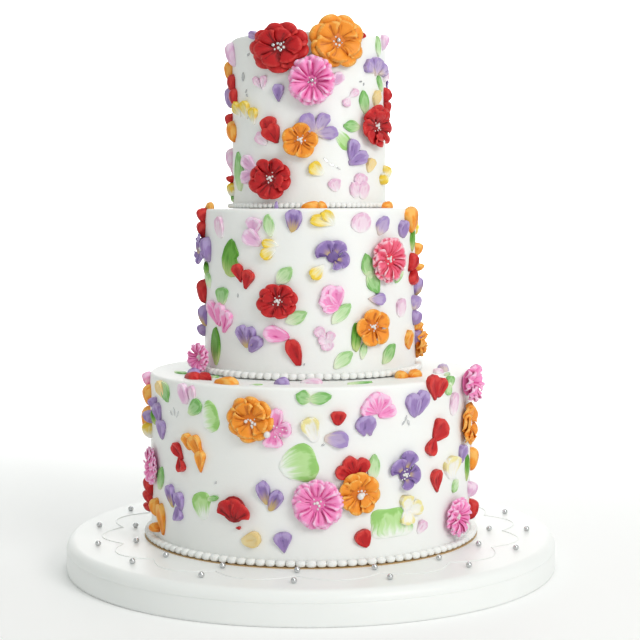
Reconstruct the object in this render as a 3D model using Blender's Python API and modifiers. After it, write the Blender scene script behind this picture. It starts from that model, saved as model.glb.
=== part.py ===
"""A three-tier buttercream wedding cake on its round board.

Each tier is a solid drum of iced cake, and the three stand on one axis. A ring of piped beads closes the
foot of every tier. Piped flowers are solids of their own on the walls, and petals and leaves smeared on
with a palette knife are fused to the tier that they lie on. Sugar pearls are fused to the board.

Metres, +Z up. The origin is the centre of the board's underside, and the shown side faces -Y.
"""

import math
import random

import bmesh
import bpy
from mathutils import Matrix, Vector

MM = 0.001
GAP = 0.3 * MM
MERGE = 0.05 * MM

# The board and the three tiers, from their real diameters and heights.
BOARD_RADIUS = 228.6 * MM
BOARD_HEIGHT = 30 * MM
BOARD_SHOULDER = 9 * MM
BOARD_STEPS = 48

TIER_STEPS = 48
# Turns the facets so that no smear is centred on the edge between two of them.
FACET_TURN = math.radians(0.9)
RIM = 3 * MM


class Tier:
    """One drum of cake: its radius, its height, and where it stands."""

    def __init__(self, name, radius, height, base):
        self.name = name
        self.radius = radius
        self.height = height
        self.base = base
        self.top = base + height


BOTTOM = Tier("bottom", 150 * MM, 153 * MM - GAP, BOARD_HEIGHT + GAP)
MIDDLE = Tier("middle", 99 * MM, 150 * MM - GAP, BOTTOM.top + GAP)
TOP = Tier("top", 71.5 * MM, 155 * MM - GAP, MIDDLE.top + GAP)
TIERS = (BOTTOM, MIDDLE, TOP)

# The piped beads round each foot: how many, how far they stand out, and how tall they are.
BEADS = {
    "bottom": (110, 7.0 * MM, 6.5 * MM),
    "middle": (84, 6.5 * MM, 6.5 * MM),
    "top": (90, 5.0 * MM, 5.0 * MM),
}

# Piped flowers on each wall: colour, degrees round from the front, height up the wall, radius and depth.
FLOWERS = {
    "top": (
        ("red", -20.9, 141.2, 24, 9),
        ("orange", 19.6, 146.2, 24.8, 9),
        ("pink", 1.5, 110.5, 20.8, 15),
        ("orange", -6, 59.5, 16, 7),
        ("red", 55, 73, 19.8, 9),
        ("red", -27.4, 26, 18.8, 9),
        ("red", 172, 130, 20, 9),
        ("orange", 137, 62, 17, 8),
        ("pink", 206, 84, 18, 9),
        ("purple", 112, 118, 14, 6),
        ("pink", 240, 36, 16, 8),
    ),
    "middle": (
        ("red", -16, 69, 17, 8),
        ("coral", 43, 104, 21.5, 9),
        ("orange", 33, 45, 17.5, 7),
        ("purple", 11, 111, 14.5, 5),
        ("orange", 84, 25, 14, 10),
        ("purple", -75, 113, 15, 9),
        ("red", 121, 94, 18, 8),
        ("orange", 158, 50, 17, 7),
        ("pink", 194, 106, 20, 9),
        ("purple", 233, 62, 15, 6),
    ),
    "bottom": (
        ("orange", -20, 125, 21, 8),
        ("pink", 1.8, 55, 21.2, 9),
        ("orange", 16, 64, 17, 7),
        ("purple", 33, 78.5, 16.5, 6),
        ("pink", 69, 145, 18.5, 13),
        ("orange", 69.5, 106, 19, 9),
        ("pink", 57.5, 27.5, 19, 9),
        ("red", -26, 47, 13, 8),
        ("pink", -71.5, 70, 18.5, 7),
        ("pink", 108, 96, 20, 9),
        ("orange", 131, 42, 18, 7),
        ("red", 155, 110, 19, 8),
        ("pink", 181, 58, 21, 9),
        ("orange", 206, 117, 20, 8),
        ("purple", 229, 48, 16, 6),
        ("red", 252, 98, 18, 8),
    ),
}
# A flower's raised ring and its narrow foot, as a share of its radius.
FOOT_SHARE = 0.55
# One flower stands on the ledge of the bottom tier, clear of the wall behind it, and faces more to the front.
LEDGE_FLOWER = ("pink", -66.5, 15.5, 14.3, 8)
LEDGE_FLOWER_STANDS_OFF = 8 * MM
LEDGE_FLOWER_FACES = math.radians(-45)

# The larger knife-smeared petals and leaves of the shown side: kind, degrees round from the front,
# height up the wall, width, length, and turn from upright.
SMEARS = {
    "top": (
        ("leaf", -69, 34, 13, 34, 0),
        ("petal", -52, 87, 28, 20, 20),
        ("petal", -31, 72, 20, 22, 0),
        ("leaf", 43, 95, 12, 21, 0),
        ("petal", 53, 128, 25, 17, 0),
        ("petal", 80, 99, 18, 20, 0),
        ("leaf", 31, 72, 12, 19, 80),
        ("leaf", 21, 60, 11, 24, -50),
        ("petal", 34, 47, 19, 23, 15),
        ("petal", 4, 34, 16, 13, 0),
        ("petal", 38, 20, 22, 21, 0),
        ("petal", -74, 138, 20, 20, 0),
        ("petal", -68, 106, 17, 20, 0),
        ("petal", -55, 36, 15, 22, 0),
    ),
    "middle": (
        ("petal", -71, 138, 16, 19, 0),
        ("leaf", -44, 108, 19, 30, 25),
        ("petal", -36, 91, 21, 20, 0),
        ("petal", -30, 129, 20, 25, 0),
        ("leaf", -21, 134, 11, 19, -15),
        ("petal", -20, 115, 17, 20, 0),
        ("petal", -8, 138, 16, 19, 0),
        ("petal", 6, 141, 24, 13, 0),
        ("petal", 26, 137, 19, 17, 0),
        ("petal", 62, 139, 22, 18, 0),
        ("leaf", 29, 92, 14, 32, 12),
        ("petal", 69, 93, 20, 24, 0),
        ("leaf", -13, 92, 12, 19, -60),
        ("leaf", -5, 53, 14, 20, -55),
        ("petal", -56, 54, 27, 27, 30),
        ("leaf", -59, 27, 14, 31, 0),
        ("petal", -33, 35, 23, 26, 0),
        ("petal", -17, 42, 23, 15, 0),
        ("petal", -8, 23, 15, 22, 0),
        ("petal", 10, 71, 21, 25, 0),
        ("leaf", 16, 57, 14, 22, -40),
        ("leaf", 22, 38, 10, 27, 0),
        ("petal", 7, 37, 19, 20, 0),
        ("leaf", 16, 18, 13, 17, -45),
        ("leaf", 44, 20, 13, 19, -20),
        ("petal", 56, 60, 17, 16, 0),
    ),
    "bottom": (
        ("petal", -63, 118, 20, 34, 0),
        ("petal", -46, 142, 16, 16, 0),
        ("leaf", -34, 124, 16, 28, 30),
        ("petal", -7, 117, 14, 30, 0),
        ("petal", -41, 96, 20, 33, 30),
        ("petal", -50, 86, 14, 22, -10),
        ("petal", -52, 45, 20, 28, 0),
        ("leaf", -37, 47, 23, 23, 0),
        ("petal", -13, 60, 22, 26, 0),
        ("petal", -20, 22, 17, 15, 0),
        ("petal", -9, 21, 14, 18, 0),
        ("leaf", -4, 92, 28, 30, 20),
        ("leaf", 1, 143, 12, 27, 80),
        ("petal", 0, 120, 15, 15, 0),
        ("petal", 8, 110, 20, 14, 0),
        ("petal", 14, 91, 28, 12, 0),
        ("leaf", 22, 87, 10, 20, 0),
        ("petal", 23, 135, 29, 20, 0),
        ("petal", 18, 120, 17, 16, 0),
        ("petal", 37, 136, 22, 23, 0),
        ("petal", 47, 143, 22, 18, 0),
        ("petal", 58, 129, 18, 20, 0),
        ("petal", 48, 108, 27, 30, -30),
        ("petal", 47, 66, 15, 18, 0),
        ("petal", 56, 73, 20, 19, 0),
        ("petal", 35, 47, 21, 23, 0),
        ("leaf", 26, 34, 27, 34, 60),
        ("petal", 17, 24, 15, 17, 0),
        ("leaf", 69, 68, 14, 26, 0),
        ("petal", -72, 30, 20, 30, 0),
        ("petal", -83, 142, 15, 20, 0),
        ("petal", -83, 112, 16, 34, 0),
        ("petal", 79, 68, 14, 26, 0),
    ),
}
# Petals that lie flat on a ledge: degrees round, distance from the axis, width and length.
LEDGE_SMEARS = {
    "bottom": (
        (-50, 130, 24, 16),
        (-70, 127, 16, 12),
        (-32, 139, 22, 12),
        (53, 116, 24, 13),
        (3, 118, 20, 10),
        (140, 128, 24, 15),
        (228, 134, 22, 14),
    ),
    "middle": (
        (-40, 92, 16, 9),
        (3, 91, 20, 9),
        (130, 88, 17, 11),
    ),
    "top": (
        (95, 46, 18, 14),
        (200, 40, 20, 15),
    ),
}
# A faceted smear is made this much larger than its petal, so that its flats reach the petal's outline.
FACET_GAIN = 1.08
# A smear that would keep less than this share of its size beside the flowers is left out.
LEAST_SHARE = 0.55
# How far the middle of a smear stands out from what it lies on.
SMEAR_HEIGHTS = {"petal": 5 * MM, "leaf": 3 * MM}
# Smears round the side are seen to stand out further than those that are seen from the front.
SIDE_ANGLE = 66
SIDE_GAIN = {"top": 1.4, "middle": 1.6, "bottom": 1.8}

# The hidden side repeats the shown one by rule: rows and columns of smears, each moved a little.
BACK_FROM, BACK_TO = 92, 268
BACK_GRID = {"top": (3, 3), "middle": (3, 4), "bottom": (3, 5)}
BACK_SEED = 7

# Sugar pearls on the board, in pairs where the piped loops meet.
PEARL_PAIRS = 16
PEARL_FIRST = -4
PEARL_RINGS = (168 * MM, 203 * MM)
PEARL_RADIUS = 3 * MM
PEARL_LIFT = 0.42


def clear_scene():
    for thing in list(bpy.data.objects):
        bpy.data.objects.remove(thing, do_unlink=True)


def collection(name):
    made = bpy.data.collections.new(name)
    bpy.context.scene.collection.children.link(made)
    return made


def icing(name, colour, roughness=0.5):
    """A plain Principled material."""
    material = bpy.data.materials.new(name)
    material.use_nodes = True
    shader = material.node_tree.nodes["Principled BSDF"]
    shader.inputs["Base Color"].default_value = (*colour, 1)
    shader.inputs["Roughness"].default_value = roughness
    shader.inputs["Metallic"].default_value = 0
    return material


def mesh_object(name, bm, into, material=None):
    mesh = bpy.data.meshes.new(name)
    bm.to_mesh(mesh)
    bm.free()
    thing = bpy.data.objects.new(name, mesh)
    into.objects.link(thing)
    if material:
        mesh.materials.append(material)
    mesh.shade_smooth()
    mesh.set_sharp_from_angle(angle=math.radians(40))
    return thing


def turned(name, profile, steps, into, material):
    """A solid turned from a profile that starts and ends on the axis, and runs down its outer side."""
    bm = bmesh.new()
    points = [bm.verts.new((radius, 0, z)) for radius, z in profile]
    for start, end in zip(points, points[1:]):
        bm.edges.new((start, end))
    mesh = bpy.data.meshes.new(name)
    bm.to_mesh(mesh)
    bm.free()
    thing = bpy.data.objects.new(name, mesh)
    into.objects.link(thing)
    mesh.materials.append(material)
    screw = thing.modifiers.new("turn", "SCREW")
    screw.steps = steps
    screw.render_steps = steps
    screw.use_merge_vertices = True
    screw.merge_threshold = MERGE
    apply_modifiers(thing)
    make_ends_whole(thing.data)
    thing.data.shade_smooth()
    thing.data.set_sharp_from_angle(angle=math.radians(40))
    return thing


def make_ends_whole(mesh):
    """Make the flat top and the flat underside of a turned solid one face each."""
    bm = bmesh.new()
    bm.from_mesh(mesh)
    poles = [vert for vert in bm.verts if math.hypot(vert.co.x, vert.co.y) < MERGE]
    bmesh.ops.dissolve_verts(bm, verts=poles)
    bm.to_mesh(mesh)
    bm.free()


def apply_modifiers(thing):
    """Swap an object's mesh for the one that its modifiers make."""
    bpy.context.view_layer.update()
    seen = thing.evaluated_get(bpy.context.evaluated_depsgraph_get())
    made = bpy.data.meshes.new_from_object(seen)
    thing.modifiers.clear()
    thing.data = made


def keep_outer_skin(mesh):
    """Fill any hollow that fusing sealed, and drop loose scraps, by keeping only the largest joined skin."""
    bm = bmesh.new()
    bm.from_mesh(mesh)
    unseen = set(bm.verts)
    skins = []
    while unseen:
        start = unseen.pop()
        skin, edge = {start}, [start]
        while edge:
            for link in edge.pop().link_edges:
                for vert in link.verts:
                    if vert not in skin:
                        skin.add(vert)
                        edge.append(vert)
        unseen -= skin
        skins.append(skin)
    largest = max(skins, key=len)
    bmesh.ops.delete(bm, geom=[vert for vert in bm.verts if vert not in largest], context="VERTS")
    bm.to_mesh(mesh)
    bm.free()


def fuse(thing, toppings):
    """Join a collection of toppings to what they lie on, and remove them."""
    union = thing.modifiers.new("toppings", "BOOLEAN")
    union.operation = "UNION"
    union.operand_type = "COLLECTION"
    union.collection = toppings
    union.solver = "EXACT"
    apply_modifiers(thing)
    keep_outer_skin(thing.data)
    for topping in list(toppings.objects):
        bpy.data.objects.remove(topping, do_unlink=True)
    bpy.data.collections.remove(toppings)


def shoulder(radius, top, size, segments):
    """Points of a quarter round from the flat top to the wall."""
    points = []
    for step in range(segments + 1):
        turn = math.radians(90) * step / segments
        points.append((radius - size + size * math.sin(turn), top - size + size * math.cos(turn)))
    return points


def bend_to_wall(bm, tier, angle, height):
    """Take flat coordinates (across, up, out) round a tier's wall."""
    for vert in bm.verts:
        across, up, out = vert.co
        turn = math.radians(angle) + across / tier.radius
        reach = tier.radius + out
        vert.co = (reach * math.sin(turn), -reach * math.cos(turn), tier.base + height + up)


def stand_off_wall(bm, tier, angle, height, off, faces):
    """Take flat coordinates (across, up, out) to a place off a tier's wall, turned to face its own way."""
    turn = math.radians(angle)
    reach = tier.radius + off
    seat = Vector((reach * math.sin(turn), -reach * math.cos(turn), tier.base + height))
    upright = Matrix.Rotation(faces, 4, "Z") @ Matrix.Rotation(math.radians(90), 4, "X")
    bm.transform(Matrix.Translation(seat) @ upright)


def lay_on_ledge(bm, tier, angle, distance):
    """Take flat coordinates (across, inward, up) to a tier's top."""
    turn = math.radians(angle)
    place = Vector((distance * math.sin(turn), -distance * math.cos(turn), tier.top))
    bm.transform(Matrix.Translation(place) @ Matrix.Rotation(turn, 4, "Z"))


def smear_shape(width, length, rise, turn, kind="petal"):
    """A low domed petal or leaf in flat coordinates, its lower half meant to sink into what it lies on."""
    bm = bmesh.new()
    bmesh.ops.create_uvsphere(bm, u_segments=7, v_segments=3, radius=1)
    for vert in bm.verts:
        across, along, out = vert.co
        if kind == "leaf":
            across *= 1 - 0.45 * along * along
        else:
            across *= 0.84 + 0.28 * along
        vert.co = (across * width * FACET_GAIN / 2, along * length * FACET_GAIN / 2, out * rise)
    bm.transform(Matrix.Rotation(math.radians(turn), 4, "Z"))
    return bm


def flower_shape(colour, size, depth, seat):
    """A piped flower in flat coordinates: a sunk middle, a raised ring and a lobed rim over a narrow foot."""
    lobes = {"purple": 4, "orange": 5}.get(colour, 7)
    bm = bmesh.new()
    bmesh.ops.create_uvsphere(bm, u_segments=18, v_segments=4, radius=1)
    for vert in bm.verts:
        around = math.atan2(vert.co.y, vert.co.x)
        level = round(vert.co.z, 1)
        wave = math.cos(lobes * around)
        reach, out = {
            1.0: (0, 0.5),
            0.7: (FOOT_SHARE, 1.0 + 0.1 * wave),
            0.0: (0.94 + 0.06 * wave, 0.78 - 0.08 * wave),
            -0.7: (FOOT_SHARE, 0),
            -1.0: (0, 0),
        }[level]
        radius = reach * size
        vert.co = (radius * math.cos(around), radius * math.sin(around), seat + out * (depth - seat))
    return bm


def flowers_of(tier):
    """Each flower of a tier, in metres: colour, degrees, height, radius, depth and whether it stands free."""
    for colour, angle, height, size, depth in FLOWERS[tier.name]:
        yield colour, angle, height * MM, size * MM, depth * MM, False
    if tier is MIDDLE:
        colour, angle, height, size, depth = LEDGE_FLOWER
        yield colour, angle, height * MM, size * MM, depth * MM, True


def room_left(tier, angle, height, half):
    """How much of its size a smear can keep beside the flowers: 1 is all of it."""
    share = 1
    for _, flower_angle, flower_height, size, _, _ in flowers_of(tier):
        aside = (angle - flower_angle + 180) % 360 - 180
        apart = math.hypot(math.radians(aside) * tier.radius, height - flower_height)
        share = min(share, (apart - size - 2 * GAP) / half)
    return share


def wall_smears(tier):
    """The shown side's smears as listed, then the hidden side's by rule."""
    for kind, angle, height, width, length, turn in SMEARS[tier.name]:
        yield kind, angle, height * MM, width * MM, length * MM, turn
    draw = random.Random(BACK_SEED + TIERS.index(tier))
    rows, columns = BACK_GRID[tier.name]
    for row in range(rows):
        for column in range(columns):
            across = (column + 0.5 + draw.uniform(-0.3, 0.3)) / columns
            up = (row + 0.5 + draw.uniform(-0.3, 0.3)) / rows
            kind = "leaf" if draw.random() < 0.28 else "petal"
            width = draw.uniform(15, 22) * (0.65 if kind == "leaf" else 1)
            length = draw.uniform(16, 24) * (1.2 if kind == "leaf" else 1)
            turn = draw.uniform(-60, 60)
            angle = BACK_FROM + (BACK_TO - BACK_FROM) * across
            yield kind, angle, tier.height * (0.05 + 0.9 * up), width * MM, length * MM, turn


def fused_smears(tier):
    """The smears that fit between the flowers, the beads and the rim, as a collection of solids."""
    toppings = collection(tier.name + "_smears")
    lowest = BEADS[tier.name][2] + 2 * GAP
    for number, (kind, angle, height, width, length, turn) in enumerate(wall_smears(tier)):
        half = max(width, length) / 2 * FACET_GAIN
        share = min(room_left(tier, angle, height, half), (height - lowest) / half)
        if share < LEAST_SHARE:
            continue
        share = min(share, 1)
        gain = SIDE_GAIN[tier.name] if SIDE_ANGLE < abs(angle) < BACK_FROM else 1
        bm = smear_shape(width * share, length * share, SMEAR_HEIGHTS[kind] * gain, turn, kind)
        bend_to_wall(bm, tier, angle, min(height, tier.height - half * share - RIM))
        mesh_object(f"{tier.name}_smear_{number}", bm, toppings)
    for number, (angle, distance, width, length) in enumerate(LEDGE_SMEARS[tier.name]):
        bm = smear_shape(width * MM, length * MM, SMEAR_HEIGHTS["petal"], 0)
        lay_on_ledge(bm, tier, angle, distance * MM)
        mesh_object(f"{tier.name}_ledge_smear_{number}", bm, toppings)
    return toppings


def make_board(into):
    underside = 1.5 * MM
    profile = [(0, BOARD_HEIGHT)]
    profile += shoulder(BOARD_RADIUS, BOARD_HEIGHT, BOARD_SHOULDER, 3)
    profile += [(BOARD_RADIUS, underside), (BOARD_RADIUS - underside, 0), (0, 0)]
    board = turned("cake_board", profile, BOARD_STEPS, into, icing("board_white", (0.86, 0.88, 0.86), 0.35))
    pearls = collection("pearls")
    for ring, distance in enumerate(PEARL_RINGS):
        for number in range(PEARL_PAIRS):
            turn = math.radians(PEARL_FIRST + 360 * number / PEARL_PAIRS)
            bm = bmesh.new()
            bmesh.ops.create_uvsphere(bm, u_segments=6, v_segments=3, radius=PEARL_RADIUS)
            lift = BOARD_HEIGHT + PEARL_RADIUS * PEARL_LIFT
            bm.transform(Matrix.Translation((distance * math.sin(turn), -distance * math.cos(turn), lift)))
            mesh_object(f"pearl_{ring}_{number}", bm, pearls)
    fuse(board, pearls)


def make_tier(tier, into, material):
    profile = [(0, tier.top)]
    profile += shoulder(tier.radius, tier.top, RIM, 2)
    profile += [(tier.radius, tier.base), (0, tier.base)]
    drum = turned(tier.name + "_tier", profile, TIER_STEPS, into, material)
    drum.data.transform(Matrix.Rotation(FACET_TURN, 4, "Z"))
    fuse(drum, fused_smears(tier))


def make_bead_border(tier, into, material):
    """A ring whose outer edge swells once for each bead. Its two inner edges stay by the wall and the ledge."""
    count, reach, height = BEADS[tier.name]
    bpy.ops.mesh.primitive_torus_add(
        major_segments=2 * count, minor_segments=3, major_radius=tier.radius, minor_radius=reach / 2
    )
    ring = bpy.context.active_object
    for home in list(ring.users_collection):
        home.objects.unlink(ring)
    into.objects.link(ring)
    ring.name = tier.name + "_border"
    ring.data.materials.append(material)
    for vert in ring.data.vertices:
        around = math.atan2(vert.co.y, vert.co.x)
        distance = math.hypot(vert.co.x, vert.co.y) - tier.radius
        swell = 0.86 + 0.14 * math.cos(count * around)
        if distance > 0.3 * reach:
            out, up = reach * swell, height * 0.62 * swell
        elif vert.co.z > 0:
            out, up = 2 * GAP, height * swell
        else:
            out, up = 3 * GAP, GAP
        place = (tier.radius + out) / math.hypot(vert.co.x, vert.co.y)
        vert.co = (vert.co.x * place, vert.co.y * place, tier.base + up)
    ring.data.update()


def make_flowers(tier, into, materials, counts):
    for colour, angle, height, size, depth, free in flowers_of(tier):
        counts[colour] = counts.get(colour, 0) + 1
        if free:
            bm = flower_shape(colour, size, depth, 0)
            stand_off_wall(bm, tier, angle, height, LEDGE_FLOWER_STANDS_OFF, LEDGE_FLOWER_FACES)
        else:
            seat = GAP + (FOOT_SHARE * size) ** 2 / (8 * tier.radius) + GAP / 2
            bm = flower_shape(colour, size, depth, seat)
            bend_to_wall(bm, tier, angle, height)
        mesh_object(f"flower_{colour}_{counts[colour]}", bm, into, materials[colour])


def main():
    clear_scene()
    cake = collection("tiered_cake")
    white = icing("white_icing", (0.9, 0.9, 0.88))
    petals = {
        "red": icing("red_icing", (0.5, 0.012, 0.02)),
        "orange": icing("orange_icing", (0.8, 0.27, 0.03)),
        "pink": icing("pink_icing", (0.87, 0.2, 0.45)),
        "coral": icing("coral_icing", (0.82, 0.14, 0.22)),
        "purple": icing("purple_icing", (0.23, 0.14, 0.42)),
    }
    make_board(cake)
    counts = {}
    for tier in TIERS:
        make_tier(tier, cake, white)
        make_bead_border(tier, cake, white)
        make_flowers(tier, cake, petals, counts)


main()
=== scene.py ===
"""The looks of a three-tier buttercream wedding cake on its round board.

A topping is given by where it sits on its tier: degrees round from the front, positive to the right, and
millimetres up the wall. A petal adds the turn of its tip from upright, its width and its length.
Everything else is in metres, +Z up, and the shown side faces -Y.
"""

import math
import random

import bmesh
import bpy
from mathutils import Matrix, Vector, noise


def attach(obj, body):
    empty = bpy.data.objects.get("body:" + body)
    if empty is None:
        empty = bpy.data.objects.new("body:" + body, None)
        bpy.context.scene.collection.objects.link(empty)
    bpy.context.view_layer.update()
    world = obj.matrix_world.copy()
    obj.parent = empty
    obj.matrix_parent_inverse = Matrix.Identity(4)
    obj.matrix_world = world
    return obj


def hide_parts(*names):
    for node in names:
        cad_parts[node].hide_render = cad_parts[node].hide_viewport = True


MM = 0.001

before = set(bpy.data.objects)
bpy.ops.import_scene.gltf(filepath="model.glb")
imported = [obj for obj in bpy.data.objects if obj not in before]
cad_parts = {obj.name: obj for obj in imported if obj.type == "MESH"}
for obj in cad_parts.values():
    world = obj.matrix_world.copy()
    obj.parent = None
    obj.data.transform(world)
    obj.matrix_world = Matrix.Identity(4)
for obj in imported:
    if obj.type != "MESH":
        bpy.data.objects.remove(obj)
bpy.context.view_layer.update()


class Tier:
    """One drum of cake: its radius, its foot and its top."""

    def __init__(self, name, radius, base, top):
        self.name = name
        self.radius = radius
        self.base = base
        self.top = top
        self.height = top - base


BOTTOM = Tier("bottom", 150 * MM, 30.3 * MM, 183 * MM)
MIDDLE = Tier("middle", 99 * MM, 183.3 * MM, 333 * MM)
TOP = Tier("top", 71.5 * MM, 333.3 * MM, 488 * MM)
TIERS = (BOTTOM, MIDDLE, TOP)

BOARD_RADIUS = 228.6 * MM
BOARD_TOP = 30 * MM
BOARD_SHOULDER = 9 * MM
SEAM_DEPTH = 0.45 * MM
# How far the icing of a wall, and the paste on the board, stray from an even surface.
UNEVEN = 0.45 * MM
BOARD_UNEVEN = 0.25 * MM

# The golden card shows this far past the bottom tier's wall, and overlaps what is above and below it.
CARD_SHOWS = 6.6 * MM
CARD_OVERLAP = 0.2 * MM

# Beads round each foot: how many, how far they stand out, how tall they are.
BEADS = {
    "bottom": (110, 7.0 * MM, 6.5 * MM),
    "middle": (84, 6.5 * MM, 6.5 * MM),
    "top": (90, 5.0 * MM, 5.0 * MM),
}

# Pearls on the board stand in pairs where two piped loops meet.
PAIRS = 16
PAIR_FIRST = -4
PEARL_RINGS = (168 * MM, 203 * MM)
LOOP_JOINT = 180 * MM
LOOP_SWING = 196 * MM
LOOP_HALF_THICKNESS = 0.45 * MM
LOOP_RAISED = 0.1 * MM
BOARD_PEARL = 2.7 * MM
BOARD_PEARL_RAISED = 2.2 * MM


class Icing:
    """How an icing looks: its finish, the colour of its deep folds, which is painted shade on all but the
    yellow, its body, its edges, which are a painted highlight on the brighter icings and an outline colour on
    the rest, and a petal's root with its reach.
    """

    def __init__(self, slot, deep, body, edge, root, root_reach):
        self.slot = slot
        self.deep = deep
        self.body = body
        self.edge = edge
        self.root = root
        self.root_reach = root_reach


# Colours are deep, body, edge and root. The deep colour is painted shade in hollows and creases. It is darker
# than the body on every icing but the yellow, whose paler hollows are its own colour. The edge colour is a
# painted highlight on raised rims and crests for the red, orange, pink, coral, purple, plain purple and rose
# lilac icings, and the icing's own outline colour on the rest.
ICINGS = {
    "red": Icing(
        "red_icing", (0.15, 0.003, 0.005), (0.52, 0.010, 0.014), (0.66, 0.04, 0.035),
        (0.34, 0.007, 0.010), 0.2,
    ),
    "orange": Icing(
        "orange_icing", (0.50, 0.12, 0.007), (0.89, 0.30, 0.024), (0.94, 0.49, 0.11),
        (0.72, 0.19, 0.010), 0.2,
    ),
    "pink": Icing(
        "pink_icing", (0.64, 0.025, 0.25), (0.92, 0.29, 0.58), (0.95, 0.58, 0.79), (0.84, 0.19, 0.46), 0.2
    ),
    "coral": Icing(
        "coral_icing", (0.56, 0.012, 0.05), (0.84, 0.13, 0.22), (0.94, 0.54, 0.62), (0.76, 0.05, 0.09), 0.35
    ),
    "purple": Icing(
        "purple_icing", (0.10, 0.05, 0.20), (0.27, 0.175, 0.44), (0.45, 0.34, 0.62), (0.60, 0.43, 0.17), 0.55
    ),
    "plain_purple": Icing(
        "purple_icing", (0.12, 0.07, 0.22), (0.32, 0.21, 0.48), (0.46, 0.35, 0.62), (0.36, 0.27, 0.46), 0.3
    ),
    "lilac": Icing(
        "lilac_icing", (0.33, 0.24, 0.45), (0.51, 0.40, 0.63), (0.38, 0.27, 0.56), (0.72, 0.60, 0.56), 0.42
    ),
    "rose_lilac": Icing(
        "pink_icing", (0.62, 0.28, 0.54), (0.80, 0.48, 0.70), (0.90, 0.70, 0.84), (0.86, 0.64, 0.79), 0.3
    ),
    "pale_pink": Icing(
        "pale_pink_icing", (0.78, 0.46, 0.63), (0.88, 0.69, 0.80), (0.80, 0.50, 0.67),
        (0.90, 0.82, 0.86), 0.4,
    ),
    "yellow": Icing(
        "yellow_icing", (0.88, 0.84, 0.66), (0.88, 0.73, 0.26), (0.86, 0.60, 0.05), (0.91, 0.90, 0.82), 0.55
    ),
    "cream": Icing(
        "yellow_icing", (0.86, 0.80, 0.62), (0.90, 0.88, 0.80), (0.87, 0.76, 0.34), (0.90, 0.88, 0.86), 0.5
    ),
    "peach": Icing(
        "yellow_icing", (0.82, 0.58, 0.22), (0.88, 0.69, 0.36), (0.86, 0.64, 0.28), (0.88, 0.74, 0.44), 0.4
    ),
    "dark_leaf": Icing(
        "green_icing", (0.05, 0.22, 0.01), (0.15, 0.40, 0.05), (0.09, 0.30, 0.02), (0.48, 0.60, 0.22), 0.45
    ),
    "leaf": Icing(
        "green_icing", (0.20, 0.47, 0.14), (0.36, 0.62, 0.27), (0.20, 0.48, 0.13), (0.62, 0.76, 0.46), 0.45
    ),
    "pale_leaf": Icing(
        "green_icing", (0.36, 0.62, 0.27), (0.54, 0.75, 0.42), (0.34, 0.60, 0.24), (0.76, 0.85, 0.64), 0.5
    ),
    "green_wash": Icing(
        "green_icing", (0.42, 0.68, 0.26), (0.50, 0.75, 0.33), (0.32, 0.61, 0.17), (0.88, 0.91, 0.85), 0.5
    ),
}
# The root's colour goes right across a petal, but is a thin streak down the two-coloured purple ones.
WHOLE_WIDTH = 1.2
ROOT_WIDTH = {"purple": 0.4}

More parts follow.
